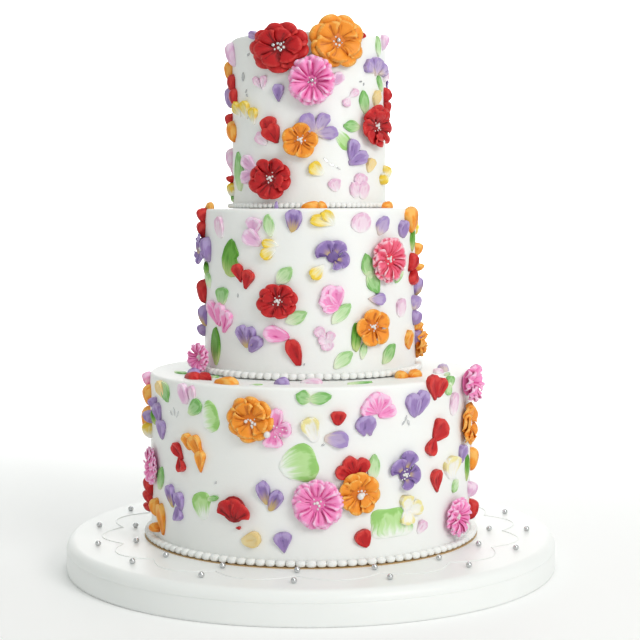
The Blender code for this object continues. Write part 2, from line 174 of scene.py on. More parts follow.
# Petals and leaves on the shown side: icing, outline, degrees round, height, turn, width and length.
PETALS = {
    "top": (
        ("lilac", "round", -41, 153, -66, 8, 12),
        ("rose_lilac", "round", -75, 140, -30, 14, 26),
        ("orange", "tear", -84, 126, -15, 14, 20),
        ("red", "tear", -74, 113, -30, 14, 19),
        ("red", "tear", -69, 100, -25, 14, 18),
        ("plain_purple", "round", -88, 102, -6, 24, 20),
        ("pale_pink", "tear", -39, 111, -32, 7, 13),
        ("pale_pink", "tear", -34, 111, 10, 7, 13),
        ("plain_purple", "tear", -21.6, 101.5, 4, 11, 16),
        ("rose_lilac", "round", 20, 113, 40, 11, 13),
        ("pale_pink", "tear", 33, 101, 50, 8, 11),
        ("pale_pink", "tear", 28, 94, -150, 9, 10),
        ("leaf", "leaf", 43, 94, -8, 12, 22),
        ("peach", "leaf", 57, 98, 8, 10, 16),
        ("red", "heart", 76, 102.5, 30, 14, 14),
        ("red", "heart", 77, 93, 120, 14, 13),
        ("lilac", "fan", 49, 125, -58, 13, 17),
        ("lilac", "fan", 57, 127, 3, 17, 18),
        ("lilac", "fan", 67, 124, 62, 13, 16),
        ("pale_pink", "tear", 76, 119, 60, 10, 14),
        ("leaf", "stroke", 63, 112, -35, 7, 17),
        ("pale_leaf", "leaf", 60, 145, -6, 9, 19),
        ("rose_lilac", "tear", 70, 150, 12, 11, 15),
        ("red", "round", 40, 152, 42, 6, 6),
        ("yellow", "tear", -63, 89, -40, 11, 16),
        ("yellow", "tear", -52, 88, -11, 11, 17),
        ("yellow", "tear", -43, 82, 3, 10, 16),
        ("red", "round", -29.2, 72.5, -8, 17, 17),
        ("red", "heart", -26.6, 65.5, -30, 19, 19),
        ("pale_pink", "round", -36, 61, -50, 12, 14),
        ("orange", "leaf", -74, 70, -12, 17, 20),
        ("red", "round", -84, 81, 0, 12, 13),
        ("rose_lilac", "round", -86, 46, 0, 12, 20),
        ("leaf", "leaf", -62.5, 33, -8, 18, 37),
        ("rose_lilac", "round", -48.5, 39.5, -50, 14, 19),
        ("rose_lilac", "round", -49.5, 29, -112, 13, 17),
        ("lilac", "round", 0.4, 73.5, -28, 16, 20),
        ("lilac", "round", 9, 75, 26, 13, 18),
        ("lilac", "round", 12.4, 66, 84, 13, 19),
        ("green_wash", "round", 24, 61, 136, 14, 23),
        ("leaf", "leaf", 32, 72, -86, 11, 18),
        ("plain_purple", "round", 32, 51, 4, 13, 20),
        ("plain_purple", "round", 37, 43.5, 64, 13, 21),
        ("peach", "round", 49, 38, 14, 11, 13),
        ("yellow", "round", 75, 32, 20, 13, 13),
        ("yellow", "round", 68, 27, -140, 12, 12),
        ("pale_pink", "disc", 39, 24.5, 3, 15, 13),
        ("pale_pink", "disc", 34.6, 16, -16, 12, 15),
        ("pale_pink", "disc", 42.4, 15.5, 5, 13, 16),
        ("pale_pink", "round", 18.5, 20, -16, 13, 12),
        ("yellow", "round", 5.5, 34, -50, 14, 15),
        ("red", "round", -81, 27, 0, 10, 7),
        ("yellow", "leaf", -80, 17, 0, 12, 14),
        ("leaf", "round", -80, 9, 0, 8, 6),
    ),
    "middle": (
        ("red", "tear", -76, 144, 0, 12, 14),
        ("red", "tear", -77, 131, -5, 14, 17),
        ("purple", "round", -77, 114, -22, 15, 20),
        ("plain_purple", "round", -68, 113, -14, 14, 24),
        ("dark_leaf", "leaf", -72, 95, -8, 13, 14),
        ("pale_leaf", "leaf", -68, 85, -20, 11, 16),
        ("red", "leaf", -77, 74, -12, 13, 24),
        ("pale_pink", "stroke", -54, 133, -6, 12, 21),
        ("dark_leaf", "notched", -44.3, 106, 1, 24, 34),
        ("red", "tear", -39, 93, -16, 12, 17),
        ("red", "tear", -33.4, 87.5, 20, 13, 18),
        ("rose_lilac", "round", -29, 135, 12, 16, 14),
        ("rose_lilac", "round", -30, 124, -56, 16, 19),
        ("pale_leaf", "leaf", -21, 135, -10, 10, 21),
        ("yellow", "round", -20, 119, -80, 9, 14),
        ("yellow", "round", -21, 111, -125, 12, 14),
        ("purple", "round", -8, 139, 6, 16, 20),
        ("yellow", "round", 6.5, 138, -80, 12, 22),
        ("yellow", "round", 9.5, 141.5, -42, 11, 16),
        ("pale_leaf", "leaf", -13, 91.5, 42, 13, 20),
        ("yellow", "tear", 4, 95, -137, 13, 16),
        ("pale_pink", "disc", 27, 137, 0, 20, 18),
        ("lilac", "leaf", 40, 134, 25, 13, 19),
        ("orange", "tear", 67, 139, -8, 24, 25),
        ("plain_purple", "stroke", 57, 131, 10, 14, 17),
        ("dark_leaf", "leaf", 71, 121, 4, 14, 22),
        ("orange", "round", 82, 112, 0, 13, 12),
        ("red", "tear", 68, 100, 40, 16, 20),
        ("red", "tear", 70, 88, -168, 18, 17),
        ("orange", "round", 84, 95, 0, 12, 8),
        ("purple", "leaf", 79, 78, 8, 14, 19),
        ("leaf", "leaf", 31, 99, -12, 13, 23),
        ("leaf", "leaf", 34, 84.5, 150, 14, 23),
        ("pale_leaf", "leaf", 54, 90, -137, 8, 20),
        ("pink", "round", 9.8, 67.5, -66, 14, 19),
        ("pink", "disc", 10.6, 73.5, -34, 18, 20),
        ("pink", "round", 13, 72.5, -2, 15, 20),
        ("pink", "round", 11, 63, -104, 9, 16),
        ("leaf", "round", -52, 72, 0, 20, 16),
        ("pink", "tear", -61, 56, -36, 14, 25),
        ("pink", "tear", -54, 55, 12, 14, 22),
        ("pink", "tear", -49, 49, 21, 16, 22),
        ("purple", "round", -76, 52, -12, 14, 20),
        ("plain_purple", "round", -80, 38, 0, 10, 12),
        ("purple", "round", -36, 37, -22, 12, 22),
        ("purple", "round", -32, 37, 6, 11, 19),
        ("plain_purple", "round", -29, 30, 45, 13, 18),
        ("dark_leaf", "leaf", -59, 26, -2, 17, 35),
        ("pink", "round", -17, 40, -78, 16, 24),
        ("red", "round", -7.8, 24, -18, 14, 25),
        ("pale_leaf", "leaf", -7, 55, 64, 12, 21),
        ("pale_leaf", "leaf", 16, 58, 46, 12, 25),
        ("lilac", "tear", 36, 70, 89, 12, 17),
        ("pale_pink", "stroke", 55, 60, -6, 15, 18),
        ("lilac", "round", 74, 63, 0, 20, 15),
        ("plain_purple", "round", 75, 49, 15, 20, 14),
        ("orange", "leaf", 64, 30, -10, 15, 19),
        ("orange", "round", 80, 41, 0, 12, 9),
        ("plain_purple", "stroke", 82, 30, 0, 12, 16),
        ("orange", "round", 88, 36, 0, 12, 8),
        ("red", "round", 88, 29, 0, 12, 7),
        ("orange", "round", 86, 17, 0, 16, 14),
        ("dark_leaf", "stroke", 24, 37, 4, 9, 27),
        ("pale_leaf", "leaf", 28, 25, 12, 7, 17),
        ("pale_pink", "round", 5.1, 40.5, -34, 11, 13),
        ("pale_pink", "disc", 6.4, 35, -80, 9, 9),
        ("pale_pink", "round", 10, 37, 20, 9, 12),
        ("pale_pink", "disc", 8.6, 30.5, 162, 12, 10),
        ("pale_leaf", "leaf", 17, 17, 51, 13, 22),
        ("leaf", "leaf", 45, 20, 42, 13, 23),
    ),
    "bottom": (
        ("pink", "round", -83, 146, 0, 16, 14),
        ("orange", "leaf", -79, 132, 4, 17, 20),
        ("orange", "stroke", -84, 106, 0, 16, 31),
        ("yellow", "stroke", -78, 100, 0, 11, 16),
        ("peach", "round", -62, 142, -30, 14, 16),
        ("leaf", "leaf", -59, 141, 150, 15, 20),
        ("plain_purple", "round", -69, 128, -30, 12, 10),
        ("plain_purple", "round", -65, 120, -20, 16, 18),
        ("plain_purple", "round", -62, 106, 6, 16, 18),
        ("plain_purple", "stroke", -76, 113, 0, 8, 13),
        ("dark_leaf", "leaf", -71, 114, -30, 8, 15),
        ("rose_lilac", "stroke", -47, 142, -11, 11, 20),
        ("pale_pink", "stroke", -43, 143, -4, 8, 15),
        ("leaf", "round", -42, 131, 48, 15, 18),
        ("green_wash", "stroke", -35, 124, 75, 27, 19),
        ("pink", "round", -11, 125, 5, 12, 20),
        ("pink", "round", -9, 117, 85, 14, 15),
        ("pink", "fan", -12, 109, -175, 17, 17),
        ("orange", "round", -45.2, 100.5, -19, 11, 15),
        ("orange", "round", -41, 98, -24, 14, 20),
        ("orange", "tear", -39, 85, 4, 11, 20),
        ("red", "tear", -50.2, 90.5, -45, 12, 18),
        ("red", "tear", -49, 80, 153, 12, 15),
        ("leaf", "leaf", -64, 61, 20, 14, 24),
        ("red", "tear", -77, 49, -15, 15, 19),
        ("red", "round", -79, 38, -8, 15, 14),
        ("red", "round", -81, 27, 0, 16, 10),
        ("purple", "round", -55, 49, -10, 12, 21),
        ("plain_purple", "round", -50, 46, -8, 12, 17),
        ("plain_purple", "round", -51, 35, 165, 13, 13),
        ("orange", "tear", -68, 33, -14, 13, 18),
        ("orange", "round", -63, 24, -10, 15, 29),
        ("orange", "round", -68, 14, -80, 10, 13),
        ("green_wash", "round", -39, 46, -12, 24, 24),
        ("leaf", "stroke", -34, 54, 76, 5, 12),
        ("red", "round", -24, 31, 0, 4, 3),
        ("peach", "round", -20, 22, 76, 15, 19),
        ("leaf", "leaf", -2.2, 144.5, -75, 13, 14),
        ("leaf", "leaf", 3, 144, 82, 11, 21),
        ("cream", "round", 0.2, 117, -22, 17, 22),
        ("red", "cup", 9, 126.5, 3, 14, 12.5),
        ("lilac", "round", 8.2, 108.5, 98, 16, 21),
        ("green_wash", "round", -4, 86.5, 74, 37, 34),
        ("red", "round", 11, 79.5, -72, 13, 17),
        ("red", "round", 13, 85, -20, 15, 18),
        ("red", "round", 16.5, 83.5, 22, 13, 18),
        ("pale_leaf", "leaf", 20.6, 83, 6, 12, 24),
        ("purple", "round", -15.2, 62.5, -17, 13, 21),
        ("purple", "round", -11.8, 56, 26, 13, 20),
        ("plain_purple", "fan", -9, 21, -6, 16, 19),
        ("red", "round", 17.4, 22.5, -20, 16, 17),
        ("pink", "fan", 19, 131.5, -74, 11, 17),
        ("pink", "fan", 20, 135, -44, 13, 19),
        ("pink", "fan", 22, 138, -12, 14, 21),
        ("pink", "fan", 23.6, 137.5, 26, 14, 19),
        ("pink", "round", 25.3, 130, 64, 13, 17),
        ("plain_purple", "forked", 18.4, 119, -6, 18, 19),
        ("plain_purple", "round", 35.8, 133, -14, 17, 22),
        ("plain_purple", "round", 39, 135, 22, 15, 23),
        ("red", "tear", 45.4, 146.5, -14, 17, 24),
        ("red", "round", 49, 146, 20, 13, 18),
        ("leaf", "round", 55, 150, 5, 15, 10),
        ("pale_leaf", "round", 54, 144, -150, 12, 12),
        ("pale_pink", "stroke", 57.6, 129, 6, 14, 22),
        ("red", "round", 76, 146, 0, 16, 19),
        ("plain_purple", "round", 65, 81.5, 24, 17, 17),
        ("orange", "stroke", 84, 69, 0, 12, 24),
        ("red", "round", 48.6, 107.5, 50, 22, 21),
        ("red", "tear", 44.4, 96.5, -146, 15, 18),
        ("red", "tear", 46.8, 64, -8, 15, 21),
        ("cream", "round", 56.5, 72.5, 0, 30, 21),
        ("pale_leaf", "leaf", 59, 55, -130, 11, 15),
        ("dark_leaf", "leaf", 71, 67, 0, 10, 27),
        ("rose_lilac", "round", 76, 44, 10, 13, 15),
        ("red", "tear", 79, 24, 6, 12, 20),
        ("cream", "round", 33, 49, -10, 15, 16),
        ("cream", "round", 36.4, 44, 70, 15, 15),
        ("cream", "round", 33.4, 37.5, 172, 15, 14),
        ("green_wash", "flag", 28, 33.5, 0, 42, 25),
        ("pale_pink", "round", 39.4, 26.5, 33, 11, 13),
    ),
}

# Petals on the ledges and on the very top: icing, outline, degrees round, distance, turn, width and length.
LEDGE_PETALS = {
    "bottom": (
        ("red", "tear", -53, 131, 80, 13, 20),
        ("red", "tear", -47, 126, -80, 13, 20),
        ("plain_purple", "round", -66, 116, 80, 11, 18),
        ("leaf", "round", -50, 111, 0, 8, 7),
        ("leaf", "leaf", -73, 124, 70, 8, 22),
        ("orange", "tear", -31, 140, 85, 12, 24),
        ("plain_purple", "leaf", -11, 128, 90, 7, 14),
        ("green_wash", "round", -20, 136, 90, 9, 12),
        ("pale_pink", "round", 0.5, 117, 90, 12, 20),
        ("leaf", "leaf", 19, 130, 80, 6, 26),
        ("orange", "round", 46, 113, -70, 12, 13),
        ("orange", "round", 53, 116, 80, 13, 18),
        ("lilac", "round", 78, 126, 75, 12, 17),
        ("pale_pink", "round", 70, 124, 80, 11, 16),
        ("leaf", "leaf", 64, 137, 80, 5, 18),
        ("red", "round", 140, 128, 60, 15, 22),
        ("orange", "round", 228, 134, -60, 14, 20),
        ("pink", "round", 182, 126, 80, 12, 18),
        ("leaf", "leaf", 160, 138, 70, 7, 20),
    ),
    "middle": (
        ("orange", "leaf", -78, 94, 85, 9, 18),
        ("plain_purple", "leaf", -18, 94, 90, 2, 4),
        ("orange", "leaf", 1, 91, 85, 8, 18),
        ("orange", "round", 7, 92, -80, 7, 9),
        ("orange", "leaf", 50, 91, 80, 8, 22),
        ("pink", "round", 130, 88, 60, 12, 17),
        ("orange", "round", 215, 88, -70, 11, 16),
    ),
    "top": (
        ("pink", "round", 95, 46, 40, 13, 18),
        ("leaf", "leaf", 108, 52, 90, 8, 16),
        ("red", "round", 200, 40, -30, 14, 20),
    ),
}

# Piped flowers, by node: tier, degrees, height, radius, how far they stand out, kind, and width to height.
FLOWERS = {
    "flower_red_6": (TOP, -20.4, 140.8, 22.8, 9, "double", 1.2),
    "flower_orange_9": (TOP, 19.7, 146, 24.6, 9, "curled", 1.05),
    "flower_pink_9": (TOP, 1.8, 111, 22.6, 14, "pleated", 0.87),
    "flower_orange_10": (TOP, -6, 59.5, 16, 7, "five", 1),
    "flower_red_7": (TOP, 54.6, 73, 20, 9, "lobed", 1.12),
    "flower_red_8": (TOP, -27.2, 26, 19.4, 9, "lobed", 1.04),
    "flower_red_9": (TOP, 172, 130, 20, 9, "double", 1.05),
    "flower_orange_11": (TOP, 137, 62, 17, 8, "five", 1),
    "flower_pink_10": (TOP, 206, 84, 18, 9, "pleated", 1),
    "flower_purple_6": (TOP, 112, 118, 14, 6, "pansy", 1),
    "flower_pink_11": (TOP, 240, 36, 16, 8, "pleated", 1),
    "flower_red_4": (MIDDLE, -16, 69, 16.4, 8, "lobed", 1.14),
    "flower_coral_1": (MIDDLE, 43, 104, 21.8, 9, "pleated", 0.96),
    "flower_orange_6": (MIDDLE, 33, 45, 17.5, 7, "five", 1),
    "flower_purple_3": (MIDDLE, 11, 111, 14.5, 5, "open", 1),
    "flower_orange_7": (MIDDLE, 84, 25, 14, 10, "curled", 1),
    "flower_purple_4": (MIDDLE, -75, 113, 15, 9, "pansy", 1),
    "flower_red_5": (MIDDLE, 121, 94, 18, 8, "lobed", 1),
    "flower_orange_8": (MIDDLE, 158, 50, 17, 7, "five", 1),
    "flower_pink_7": (MIDDLE, 194, 106, 20, 9, "pleated", 1),
    "flower_purple_5": (MIDDLE, 233, 62, 15, 6, "pansy", 1),
    "flower_pink_8": (MIDDLE, -66.5, 15.5, 14.3, 8, "pleated", 1),
    "flower_orange_1": (BOTTOM, -19.4, 125, 21, 8, "curled", 1.02),
    "flower_pink_1": (BOTTOM, 2.1, 54.5, 22.8, 9, "pleated", 0.98),
    "flower_orange_2": (BOTTOM, 15.4, 62.4, 19.4, 7, "lobed", 0.95),
    "flower_purple_1": (BOTTOM, 33, 78.5, 16.5, 6, "half", 1),
    "flower_pink_2": (BOTTOM, 69, 145, 18.5, 13, "ruffled", 1.1),
    "flower_orange_3": (BOTTOM, 69.5, 107.5, 21, 9, "curled", 0.9),
    "flower_pink_3": (BOTTOM, 58.4, 27.5, 18.3, 9, "pleated", 1.16),
    "flower_red_1": (BOTTOM, -26, 47, 13, 8, "folded", 1),
    "flower_pink_4": (BOTTOM, -71.5, 70, 18.5, 7, "pleated", 1),
    "flower_pink_5": (BOTTOM, 108, 96, 20, 9, "pleated", 1),
    "flower_orange_4": (BOTTOM, 131, 42, 18, 7, "five", 1),
    "flower_red_2": (BOTTOM, 155, 110, 19, 8, "ruffled", 1),
    "flower_pink_6": (BOTTOM, 181, 58, 21, 9, "pleated", 1),
    "flower_orange_5": (BOTTOM, 206, 117, 20, 8, "curled", 1),
    "flower_purple_2": (BOTTOM, 229, 48, 16, 6, "pansy", 1),
    "flower_red_3": (BOTTOM, 252, 98, 18, 8, "lobed", 1),
}
# One flower stands on the ledge of the bottom tier, clear of the wall behind it, and faces more to the front.
LEDGE_FLOWER = "flower_pink_8"
LEDGE_FLOWER_STANDS_OFF = 8 * MM
LEDGE_FLOWER_FACES = math.radians(-45)


class Row:
    """A ring of petals. Its reach is a share of the flower's radius, and its heights are shares of depth."""

    def __init__(self, petals, reach, spread, low, high, folds, ruffle, lean, lip, cup=0.0):
        self.petals = petals
        self.reach = reach
        self.spread = spread
        self.low = low
        self.high = high
        self.folds = folds
        self.ruffle = ruffle
        self.lean = lean
        self.lip = lip
        self.cup = cup


ROWS = {
    "double": (
        Row(9, 1.0, 1.4, 0.20, 0.60, 1.5, 0.13, 0.46, 0.07),
        Row(6, 0.78, 1.35, 0.32, 0.84, 1.4, 0.12, 0.40, 0.07),
    ),
    "ruffled": (
        Row(7, 1.0, 1.45, 0.26, 0.74, 3, 0.14, 0.5, 0.14),
        Row(3, 0.72, 1.1, 0.30, 0.84, 2, 0.12, 0.34, 0.12),
    ),
    "curled": (
        Row(8, 1.0, 1.4, 0.20, 0.56, 1.5, 0.13, 0.46, 0.16),
        Row(5, 0.80, 1.4, 0.32, 0.78, 1.5, 0.13, 0.44, 0.16),
    ),
    "pleated": (
        Row(9, 1.0, 1.35, 0.24, 0.60, 3, 0.12, 0.40, 0.04),
        Row(8, 0.9, 1.3, 0.30, 0.84, 1.8, 0.13, 0.50, 0.06),
    ),
    "lobed": (
        Row(8, 1.0, 1.4, 0.26, 0.78, 1.4, 0.12, 0.50, 0.08),
        Row(2, 0.7, 0.5, 0.32, 0.86, 1, 0.08, 0.24, 0.06),
    ),
    "five": (Row(5, 1.0, 1.08, 0.40, 0.66, 1.5, 0.05, 0.2, 0.10, 0.22),),
    "pansy": (Row(5, 1.0, 1.15, 0.34, 0.66, 3, 0.07, 0.3, 0.12, 0.10),),
    "open": (Row(4, 1.0, 1.0, 0.40, 0.72, 1.4, 0.05, 0.3, 0.08, 0.10),),
    "half": (Row(4, 1.0, 1.0, 0.40, 0.72, 1.4, 0.05, 0.3, 0.08, 0.10),),
    "folded": (Row(3, 1.0, 1.0, 0.40, 0.80, 1.4, 0.12, 0.4, 0.06),),
}
# Kinds that aren't full rings. First each petal's heading in degrees from upright, its half width, and its
# reach as a share of the radius. Then where their common root lies from the middle, as shares to the right
# and up. Then where the mound below them lies, with its size.
PART_FLOWERS = {
    "open": (
        ((152, 38, 0.70), (-42, 46, 1.28), (96, 42, 1.02), (24, 36, 1.22)),
        (0.07, -0.355),
        (0.07, -0.2, 0.34),
    ),
    "half": (
        ((158, 50, 0.80), (-44, 44, 1.06), (88, 44, 0.95), (16, 30, 1.38)),
        (-0.165, -0.26),
        (-0.1, -0.2, 0.34),
    ),
    "folded": (
        ((34, 38, 1.62), (-27, 36, 1.72), (5, 28, 1.8)),
        (0.115, -0.9),
        (0.06, 0.0, 0.82),
    ),
}

# Pearls in the middles of five flowers, in millimetres: across, up, radius, and whether it is silver.
PEARL_CLUSTERS = {
    "flower_red_6": (
        (-4.4, 2.2, 2.0, True),
        (-0.6, 3.4, 1.6, True),
        (2.4, 2.6, 2.0, True),
        (0.0, -0.6, 1.5, False),
        (2.2, -2.6, 1.9, True),
        (4.6, -0.2, 1.4, False),
        (-3.4, -1.6, 1.0, False),
        (4.6, 4.2, 0.9, False),
    ),
    "flower_orange_9": (
        (0.4, 0.8, 2.3, True),
        (-1.8, -2.8, 1.1, False),
        (1.2, -3.6, 1.2, False),
        (-3.6, -0.4, 0.9, False),
        (0.0, -6.0, 0.8, False),
        (3.6, -1.4, 0.9, True),
        (-1.8, 3.6, 0.8, False),
    ),
    "flower_pink_9": (
        (0.2, 0.4, 2.2, True),
        (-2.8, -1.4, 1.2, True),
        (2.6, -1.8, 1.0, False),
        (0.4, -3.4, 0.9, False),
        (-1.8, 2.8, 0.8, False),
        (3.2, 2.0, 0.8, False),
    ),
    "flower_orange_2": (
        (0.8, -2.4, 3.1, False),
        (3.2, -1.2, 2.0, False),
        (2.0, 1.8, 1.2, False),
        (-0.6, 1.6, 0.8, False),
        (6.6, -1.4, 1.1, False),
        (8.0, 0.0, 0.8, False),
        (5.0, 1.4, 0.7, False),
    ),
    "flower_orange_1": (
        (-3.4, -1.4, 1.6, False),
        (0.6, -0.4, 1.1, False),
        (2.2, -2.2, 1.4, False),
        (4.6, -3.4, 1.5, False),
        (1.6, -4.8, 1.2, False),
        (2.8, -6.2, 1.5, False),
        (5.2, -6.6, 1.2, False),
        (7.2, -6.0, 0.8, False),
        (4.0, 0.6, 0.7, False),
        (-1.6, 0.2, 0.8, False),
    ),
}
# Loose pearls on the petals: how far out they rest, and tier, degrees round, height and radius.
LOOSE_PEARL_REST = 3.4 * MM
LOOSE_PEARLS = (
    (BOTTOM, -13.5, 113.3, 3.0),
    (BOTTOM, -11.6, 120.5, 0.9),
    (BOTTOM, -10.6, 119.3, 0.7),
    (BOTTOM, -8.8, 117.6, 0.8),
    (BOTTOM, -7.6, 116.8, 0.6),
    (BOTTOM, -9.6, 114.2, 0.7),
    (BOTTOM, -11.2, 111.4, 0.8),
    (BOTTOM, -8.4, 112.0, 0.6),
)

# Silver leaf on the walls: tier, degrees round, height, turn, width and length.
FLECKS = (
    (TOP, -56, 118, 5, 4, 8),
    (TOP, -52, 105, 30, 1.6, 4),
    (TOP, -51, 101, -40, 1.6, 4),
    (TOP, -49, 137, 60, 2.2, 4),
    (TOP, 40, 112, 80, 1.6, 4),
    (TOP, 43, 110, 10, 1.4, 3),
    (TOP, 12, 42, -50, 1.2, 6),
    (TOP, 16, 38, -70, 1.2, 6),
    (TOP, 21, 35, -60, 1.2, 5),
    (TOP, 64, 57, 10, 1.2, 4),
    (MIDDLE, -40, 73, 0, 1.6, 4),
    (MIDDLE, -3, 14, 30, 1.8, 2.4),
    (BOTTOM, -53, 125, -20, 1.8, 8),
    (BOTTOM, -51, 123, 25, 1.6, 7),
    (BOTTOM, -55, 123, -45, 1.4, 6),
    (BOTTOM, -33, 68, 30, 1.6, 3),
    (BOTTOM, 33, 123, 20, 2, 6),
    (BOTTOM, 34, 119, -20, 2.4, 6),
    (BOTTOM, 32, 119, 40, 1.8, 5),
    (BOTTOM, 4, 104, 60, 1.4, 3),
)

# Petals round the side are seen to stand out further than those that are seen from the front.
SIDE_ANGLE = 66
SIDE_GAIN = {"top": 1.5, "middle": 1.7, "bottom": 1.85}
# Those that lie on a ledge are heaped a little.
LEDGE_GAIN = 1.4
# Smears thinner than this are laid flat.
FLAT_SMEAR = 2.2 * MM
# How thick each kind of smear is laid: a wash of colour is only a skin, and leaves are thinner than petals.
WASH_THICKNESS = 0.5 * MM
LEAF_THICKNESS = 2 * MM
PALE_PINK_THICKNESS = 3.2 * MM
PETAL_THICKNESS = 5 * MM
# The rim of a smear and the foot of a flower go this far into the icing, or stay this far off it.
SMEAR_SUNK = 0.4 * MM
FLOWER_OFF_WALL = 0.4 * MM
# The walls of the finished skins.
SMEAR_WALL = 0.7 * MM
FLOWER_WALL = 0.9 * MM
FLECK_WALL = 0.3 * MM
FLECK_THICKNESS = 0.6 * MM

# The hidden side repeats the shown one by rule: rows and columns of petals, each moved a little.
BACK_FROM, BACK_TO = 92, 268
BACK_GRID = {"top": (3, 3), "middle": (3, 4), "bottom": (3, 5)}
BACK_SEED = 7
BACK_PICK_SEED = 100
BACK_ICINGS = (
    "red", "orange", "pink", "plain_purple", "purple", "lilac", "rose_lilac", "yellow", "pale_pink",
)
BACK_LEAVES = ("dark_leaf", "leaf", "pale_leaf")
BACK_LEAF_SHARE = 0.28
BACK_SMALL_LEAF_SHARE = 0.35
BACK_WIDTHS = (15, 22)
BACK_LENGTHS = (16, 24)
BACK_SMALL_WIDTHS = (9, 14)
BACK_CLEAR_OF_FLOWERS = 7

# The photograph's view: lens and sensor in millimetres, and the camera's place, with its turns in degrees.
LENS = 82.35
SENSOR = 36
CAMERA_PLACE = (0, -1.370, 0.3307)
CAMERA_TURN = -0.391
CAMERA_DIP = 4.26
CAMERA_ROLL = -0.25

# Fixed seeds, so that each run gives the same cake.
PETAL_SEED = 31
FLOWER_SEED = 5
PEARL_SEED = 12
FLECK_SEED = 8

# How finely a smear and a piped petal are divided, across and along.
SMEAR_CELLS = (10, 10)
PETAL_CELLS = (14, 8)
# The mound in a flower's middle, as a share of its depth and of its radius.
HEART_HEIGHT = 0.36
HEART_RADIUS = 0.6


def ease(value, low, high):
    """0 below low, 1 above high, and a smooth rise between."""
    share = max(0.0, min(1.0, (value - low) / (high - low)))
    return share * share * (3 - 2 * share)


def around(distance, turn, height):
    """The point at a distance from the axis, turned round it from the front, at a height."""
    return Vector((distance * math.sin(turn), -distance * math.cos(turn), height))


def on_wall(tier, angle, height):
    """Where flat coordinates (across, up, out) come to lie round a tier's wall."""

    def place(across, up, out):
        return around(tier.radius + out, math.radians(angle) + across / tier.radius, tier.base + height + up)

    return place


def on_ledge(tier, angle, distance):
    """Where flat coordinates (across, inward, up) come to lie on a tier's top."""
    turn = math.radians(angle)
    seat = around(distance, turn, tier.top)
    spin = Matrix.Rotation(turn, 3, "Z")

    def place(across, inward, up):
        return seat + spin @ Vector((across, inward, up))

    return place


def new_shape():
    """An empty mesh that keeps, for each point, its painted shading, set by how near it is to a raised edge,
    and its own tint.
    """
    bm = bmesh.new()
    bm.loops.layers.uv.new("petal")
    bm.verts.layers.float.new("painted_shading")
    bm.verts.layers.float.new("tint")
    return bm


def mark(bm, verts, folds, tint):
    """Note on each point how near it is to a raised edge, from 0 in a hollow to 1. The finish paints shade
    where it is low and, on the brighter icings, a highlight where it is high.
    """
    painted_shading_layer = bm.verts.layers.float["painted_shading"]
    tint_layer = bm.verts.layers.float["tint"]
    for vert, painted_shading in zip(verts, folds):
        vert[painted_shading_layer] = painted_shading
        vert[tint_layer] = tint


def put_in_scene(name, data):
    """An object for a mesh, a lamp or a camera."""
    thing = bpy.data.objects.new(name, data)
    bpy.context.scene.collection.objects.link(thing)
    return thing


def mesh_of(name, bm, material):
    """The smooth mesh of a finished shape, in its material."""
    mesh = bpy.data.meshes.new(name)
    bm.to_mesh(mesh)
    bm.free()
    mesh.materials.append(material)
    mesh.shade_smooth()
    return mesh


def piece_of(name, bm, material, slot, wall=0.0, stands_for=()):
    """Make a finished piece of a shape: it rides on the cake. The slot it is given is not used."""
    mesh = mesh_of(name, bm, material)
    mesh.set_sharp_from_angle(angle=math.radians(50))
    piece = put_in_scene(name, mesh)
    if wall:
        solid = piece.modifiers.new("thickness", "SOLIDIFY")
        solid.thickness = wall
        solid.offset = -1
    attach(piece, "root")
    if stands_for:
        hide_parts(*stands_for)


def new_patch(bm, cells):
    """A flat square of small faces, from -1 to 1 both ways, to be pulled into a petal."""
    across, along = cells
    return bmesh.ops.create_grid(bm, x_segments=across, y_segments=along, size=1, calc_uvs=True)["verts"]


def rounded(x, y):
    """Round off a square grid's corners, so that it fills a disc and crowds its lines towards the rim."""
    x, y = x * math.sqrt(1 - y * y / 2), y * math.sqrt(1 - x * x / 2)
    reach = math.hypot(x, y)
    pull = math.sin(min(reach, 1) * math.pi / 2) / reach if reach else 1
    return x * pull, y * pull


def outline(kind, x, y):
    """Pull a disc to a petal's outline, with its root at y -1 and its tip at y 1."""
    rise = ease(y, -1, 0.6)
    if kind == "disc":
        return x, y
    power = 5 if kind == "flag" else 2.4
    full = max((abs(x) ** power + abs(y) ** power) ** (1 / power) / max(math.hypot(x, y), 1e-6), 0.75)
    if kind == "leaf":
        return x * (1 - 0.5 * abs(y) ** 2), y
    if kind == "notched":
        notch = 0.42 * math.exp(-(((y + 0.05) / 0.16) ** 2)) * ease(x, 0.3, 1)
        return (x - notch) * (1 - 0.5 * max(0, y)), y
    x, y = x / full, y / full
    if kind == "stroke":
        return x, y * (0.94 + 0.06 * x)
    if kind == "flag":
        return x * 1.04 - 0.4 * ease(y, -0.5, 1) * ease(x, 0, 1), y * 1.04
    if kind == "cup":
        return x * (0.7 + 0.3 * rise), y + 0.12 * x * x
    if kind == "forked":
        return x * (0.66 + 0.34 * ease(y, -1, 0.2)), y + 0.3 * math.exp(-((x / 0.25) ** 2)) * (1 - rise)
    if kind == "tear":
        return x * (0.32 + 0.68 * rise), y
    if kind == "heart":
        notch = 0.26 * math.exp(-((x / 0.3) ** 2)) * rise
        return x * (0.4 + 0.6 * rise), y - notch
    if kind == "fan":
        return x * (0.26 + 0.84 * rise), y - 0.12 * (1 - x * x) * rise
    return x * (0.58 + 0.42 * rise), y


